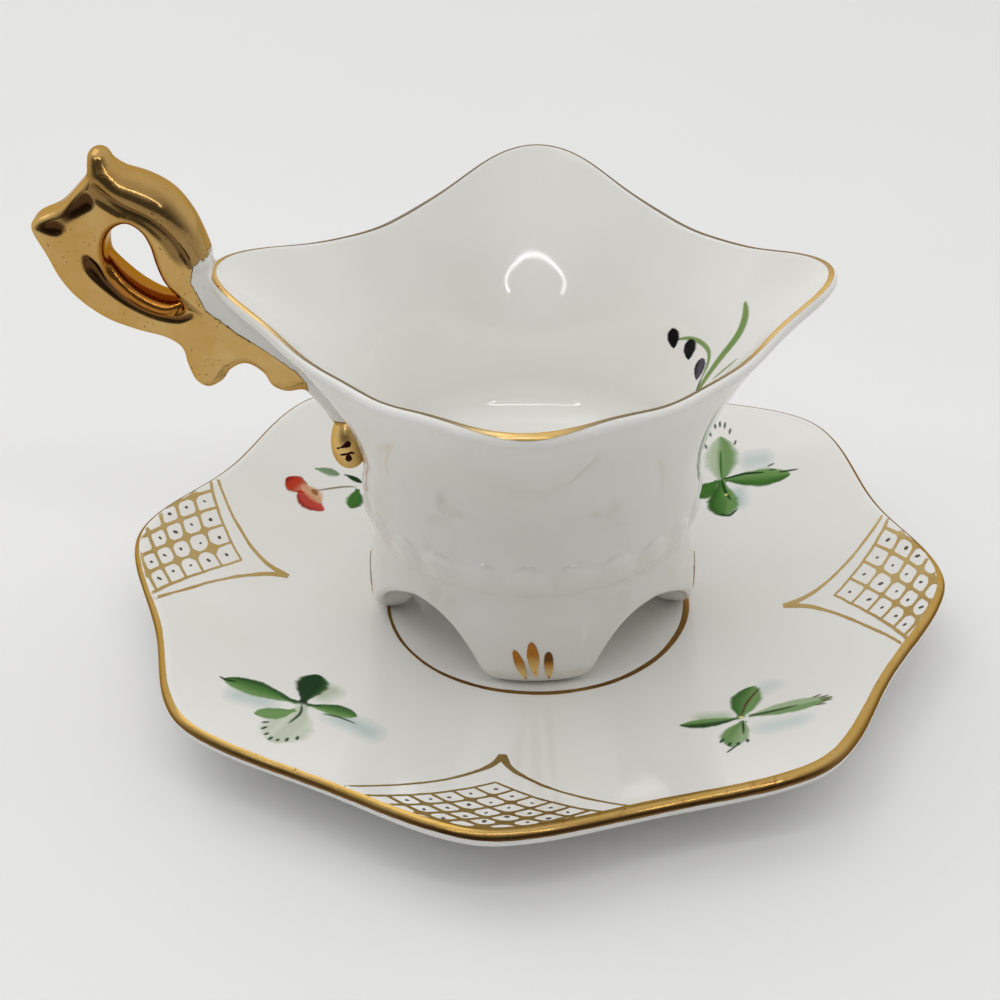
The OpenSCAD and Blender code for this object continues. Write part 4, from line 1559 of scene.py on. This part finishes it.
def back_left_sprig():
    sheet = Canvas((-44, 17), (-24, 34))
    heart = (-36.4, 24.2)
    inside, t, w = sheet.leaf(heart, (-40.6, 26.2), 2.0, PEACH, 0.2, 0.62, 0.9, seed=31)
    sheet.lay(0.95 * inside * smooth_step(0.15, 0.6, t), RED)
    sheet.lay(0.8 * inside * smooth_step(0.7, 1.0, np.maximum(t, np.abs(w))), DARK_RED)
    sheet.leaf((-38.4, 24.0), (-33.9, 20.3), 1.7, RED, -0.5, 0.5, 0.95, seed=32,
               shades=[(DARK_RED, -1, 0.2, 0.9)])
    sheet.leaf((-38.0, 25.4), (-34.6, 21.9), 1.3, PEACH, 0.5, 0.5, 0.9, seed=33, soft=0.35)
    sheet.leaf((-36.2, 25.0), (-35.4, 23.6), 0.55, TAN, 0.0, 0.4, seed=34)
    sheet.line([(-35.6, 24.8), (-33.6, 25.9), (-31.2, 27.0), (-29.4, 27.4)], 0.2, STEM_GREY, 0.85)
    sheet.leaf((-36.4, 29.9), (-32.3, 29.6), 0.95, GREEN, 0.1, 0.6, 0.8, seed=35, soft=0.3)
    sheet.leaf((-29.2, 27.0), (-29.8, 21.9), 1.4, GREEN, 0.2, 0.6, seed=36, soft=0.25,
               shades=[(DARK_GREEN, 1, 0.3, 0.7)])
    sheet.leaf((-31.6, 29.9), (-28.6, 28.6), 0.6, DARK_GREEN, 0.1, 0.6, seed=37)
    return sheet


def make_saucer_sprigs():
    films = Gathered()
    for sprig in (front_right_sprig, front_left_sprig, back_right_sprig, back_left_sprig):
        sprig().gather(films, on_saucer)
    films.add("saucer_sprigs", painted_glaze, "saucer", "porcelain")


# Where the cup's sprig has its middle, and how its flat millimetres wrap on the wall
SPRIG_AT = math.radians(15)
SPRIG_LEVEL = 0.42
SPRIG_DEGREE = 0.436
SPRIG_TALL = 28.0


def on_inner_wall(u, v, lift):
    """A point of the cup's inside, from millimetres round it and up it."""
    a = SPRIG_AT + math.radians(1) / SPRIG_DEGREE * u
    r, z = inside(a, SPRIG_LEVEL + v / SPRIG_TALL, lift)
    return np.column_stack([r * np.cos(a), r * np.sin(a), z])


def make_cup_sprig():
    """A drooping stem with three dark buds and a long blade."""
    sheet = Canvas((-9.5, -7.5), (11.5, 11), 0.13)
    stem = [(8.0, -0.2), (6.2, 0.8), (4.6, 1.3), (2.3, 1.4), (-0.3, 0.6), (-1.7, -1.4), (-2.0, -4.2)]
    sheet.line(stem, 0.36, BLADE_GREEN, 0.9)
    blade = [(-0.6, 8.8), (-2.3, 6.7), (-3.4, 4.1), (-3.3, 0.5), (-2.9, -3.8), (-2.5, -6.0)]
    sheet.line(blade, 0.62, BLADE_GREEN, 0.92)
    sheet.line(blade[1:4], 0.25, SOFT_GREEN, 0.6)
    sheet.line([(-7.3, 2.9), (-6.2, 0.4), (-5.0, -1.9)], 0.22, BLADE_GREEN, 0.85)
    sheet.line([(-2.3, -5.0), (-2.0, -3.2)], 0.24, DARK_GREEN, 0.85)
    for base, tip, half, body, seed in (((9.2, 1.5), (7.5, -1.5), 1.25, BLACK_PURPLE, 41),
                                        ((4.8, 1.2), (3.3, -1.9), 1.4, BLACK_PURPLE, 42),
                                        ((0.4, -0.6), (-0.9, -3.8), 1.25, GREY_PURPLE, 43)):
        sheet.leaf(base, tip, half, body, 0.0, 0.42, seed=seed, shades=[(BLACK_PURPLE, 1, 0.0, 0.8)])
    films = Gathered()
    sheet.gather(films, on_inner_wall, flip=True)
    films.add("cup_sprig", painted_glaze, "cup", "porcelain")


def make_knob_strokes():
    """Two dark marks brushed on the front and the back of the knob."""
    films = Gathered()
    for side in (-1, 1):
        sheet = Canvas((-2.6, -3.6), (2.6, 3.6), 0.09)
        sheet.leaf((-1.6, 0.1), (0.6, 1.3), 0.42, KNOB_DARK, 0.0, 0.8, seed=51)
        sheet.leaf((0.17, -0.3), (0.17, -1.75), 0.45, KNOB_DARK, 0.0, 0.6, seed=52)
        sheet.line([(-1.0, -0.7), (-0.3, -0.45), (0.1, -0.35)], 0.16, KNOB_DARK)
        sheet.line([(0.1, -0.35), (0.5, -0.2), (0.95, -0.42)], 0.16, KNOB_DARK)
        sheet.paint[:] = tint(KNOB_DARK)
        sheet.cover = np.where(sheet.cover > 0.6, 1.0, 0.0)

        def place(u, v, lift, side=side):
            return knob_point(side * QUARTER + u / KNOB_FRONT, 2 * v / KNOB_H, lift)

        sheet.gather(films, place)
    films.add("knob_strokes", painted_glaze, "cup", "porcelain")


make_trellis()
make_saucer_sprigs()
make_cup_sprig()
make_knob_strokes()


# Camera, floor and light

CAMERA_AT = np.array([5.82, -227.13, 170.84])
CAMERA_PITCH = math.radians(33.26)
CAMERA_TURN = math.radians(2.64)
CAMERA_ROLL = math.radians(-0.91)
FOCAL_PIXELS = 1858.9
IMAGE_WIDTH = 1000
SENSOR = 36


def make_camera():
    data = bpy.data.cameras.new("camera")
    data.sensor_width = SENSOR
    data.lens = SENSOR * FOCAL_PIXELS / IMAGE_WIDTH
    data.clip_start = 0.01
    camera = linked("camera", data)
    turn = Matrix.Rotation(CAMERA_TURN, 4, "Z")
    tilt = Matrix.Rotation(QUARTER - CAMERA_PITCH, 4, "X")
    roll = Matrix.Rotation(CAMERA_ROLL, 4, "Z")
    camera.matrix_world = Matrix.Translation(CAMERA_AT * MM) @ turn @ tilt @ roll
    bpy.context.scene.camera = camera
    return camera


def make_floor():
    half = 1.2
    mesh = bpy.data.meshes.new("floor")
    corners = [(-half, -half, 0), (half, -half, 0), (half, half, 0), (-half, half, 0)]
    mesh.from_pydata(corners, [], [(0, 1, 2, 3)])
    shader = new_shader("pale_paper")
    colour = shader.mix(shader.noise(14, 2), (0.84, 0.845, 0.845), (0.87, 0.87, 0.865))
    mesh.materials.append(shader.finish({"Base Color": colour, "Roughness": 0.85}))
    linked("floor", mesh)


# How bright the room is on the camera's side, at the back and overhead
ROOM_DARK = 0.13
ROOM_BRIGHT = 0.88
CEILING = 0.95


def make_world():
    """A bright back and ceiling, and a dark room on the camera's side."""
    world = bpy.data.worlds.new("studio")
    bpy.context.scene.world = world
    sky = Shader(world)
    way = sky.node("SeparateXYZ", {0: sky.places["Generated"]})
    back = sky.remap(way["Y"], -0.75, 0.35, ROOM_DARK, ROOM_BRIGHT, "SMOOTHSTEP")
    top = sky.remap(way["Z"], 0.45, 0.95, curve="SMOOTHSTEP")
    level = sky.node("Mix", {"Factor": top, "A": back, "B": CEILING})["Result"]
    sky.feed(sky.tree.nodes["Background"], {"Color": (1, 0.995, 0.985), "Strength": level})


SOFTBOX_AT = (-0.35, 0.25, 0.7)
SOFTBOX_AIM = (0, 0, 0.02)
SOFTBOX_SIZE = 0.6
SOFTBOX_WATTS = 0.8


def make_softbox():
    data = bpy.data.lights.new("softbox", "AREA")
    data.shape = "SQUARE"
    data.size = SOFTBOX_SIZE
    data.energy = SOFTBOX_WATTS
    lamp = linked("softbox", data)
    lamp.location = SOFTBOX_AT
    aim = Vector(SOFTBOX_AIM) - lamp.location
    lamp.rotation_mode = "QUATERNION"
    lamp.rotation_quaternion = aim.to_track_quat("-Z", "Y")


LAMP_ACROSS = 157
LAMP_TALL = 52
LAMP_LIFT = 92
LAMP_SIDE = -14
LAMP_THICK = 5
LAMP_SPAN = (-32, 212)
LAMP_STRENGTH = 14


def make_arch_lamp(camera):
    """A bent tube lamp above the camera, open below: it gives the arch-shaped highlights."""
    count = 48
    turns = np.radians(np.linspace(*LAMP_SPAN, count))
    out = np.stack([np.cos(turns), np.sin(turns), 0 * turns], axis=-1)
    middle = out * (LAMP_ACROSS, LAMP_TALL, 0) + (LAMP_SIDE, LAMP_LIFT, 0)
    points = np.concatenate([middle - LAMP_THICK * out, middle + LAMP_THICK * out])
    faces = [(i, i + 1, count + i + 1, count + i) for i in range(count - 1)]
    mesh = bpy.data.meshes.new("arch_lamp")
    mesh.from_pydata((points * MM).tolist(), [], faces)
    glow = {"Base Color": (0, 0, 0), "Emission Color": (1, 1, 1), "Emission Strength": LAMP_STRENGTH}
    mesh.materials.append(new_shader("lamp_glow").finish(glow))
    lamp = linked("arch_lamp", mesh)
    lamp.matrix_world = camera.matrix_world
    lamp.visible_camera = False


camera = make_camera()
make_floor()
make_world()
make_softbox()
make_arch_lamp(camera)
bpy.context.scene.view_settings.view_transform = "Standard"
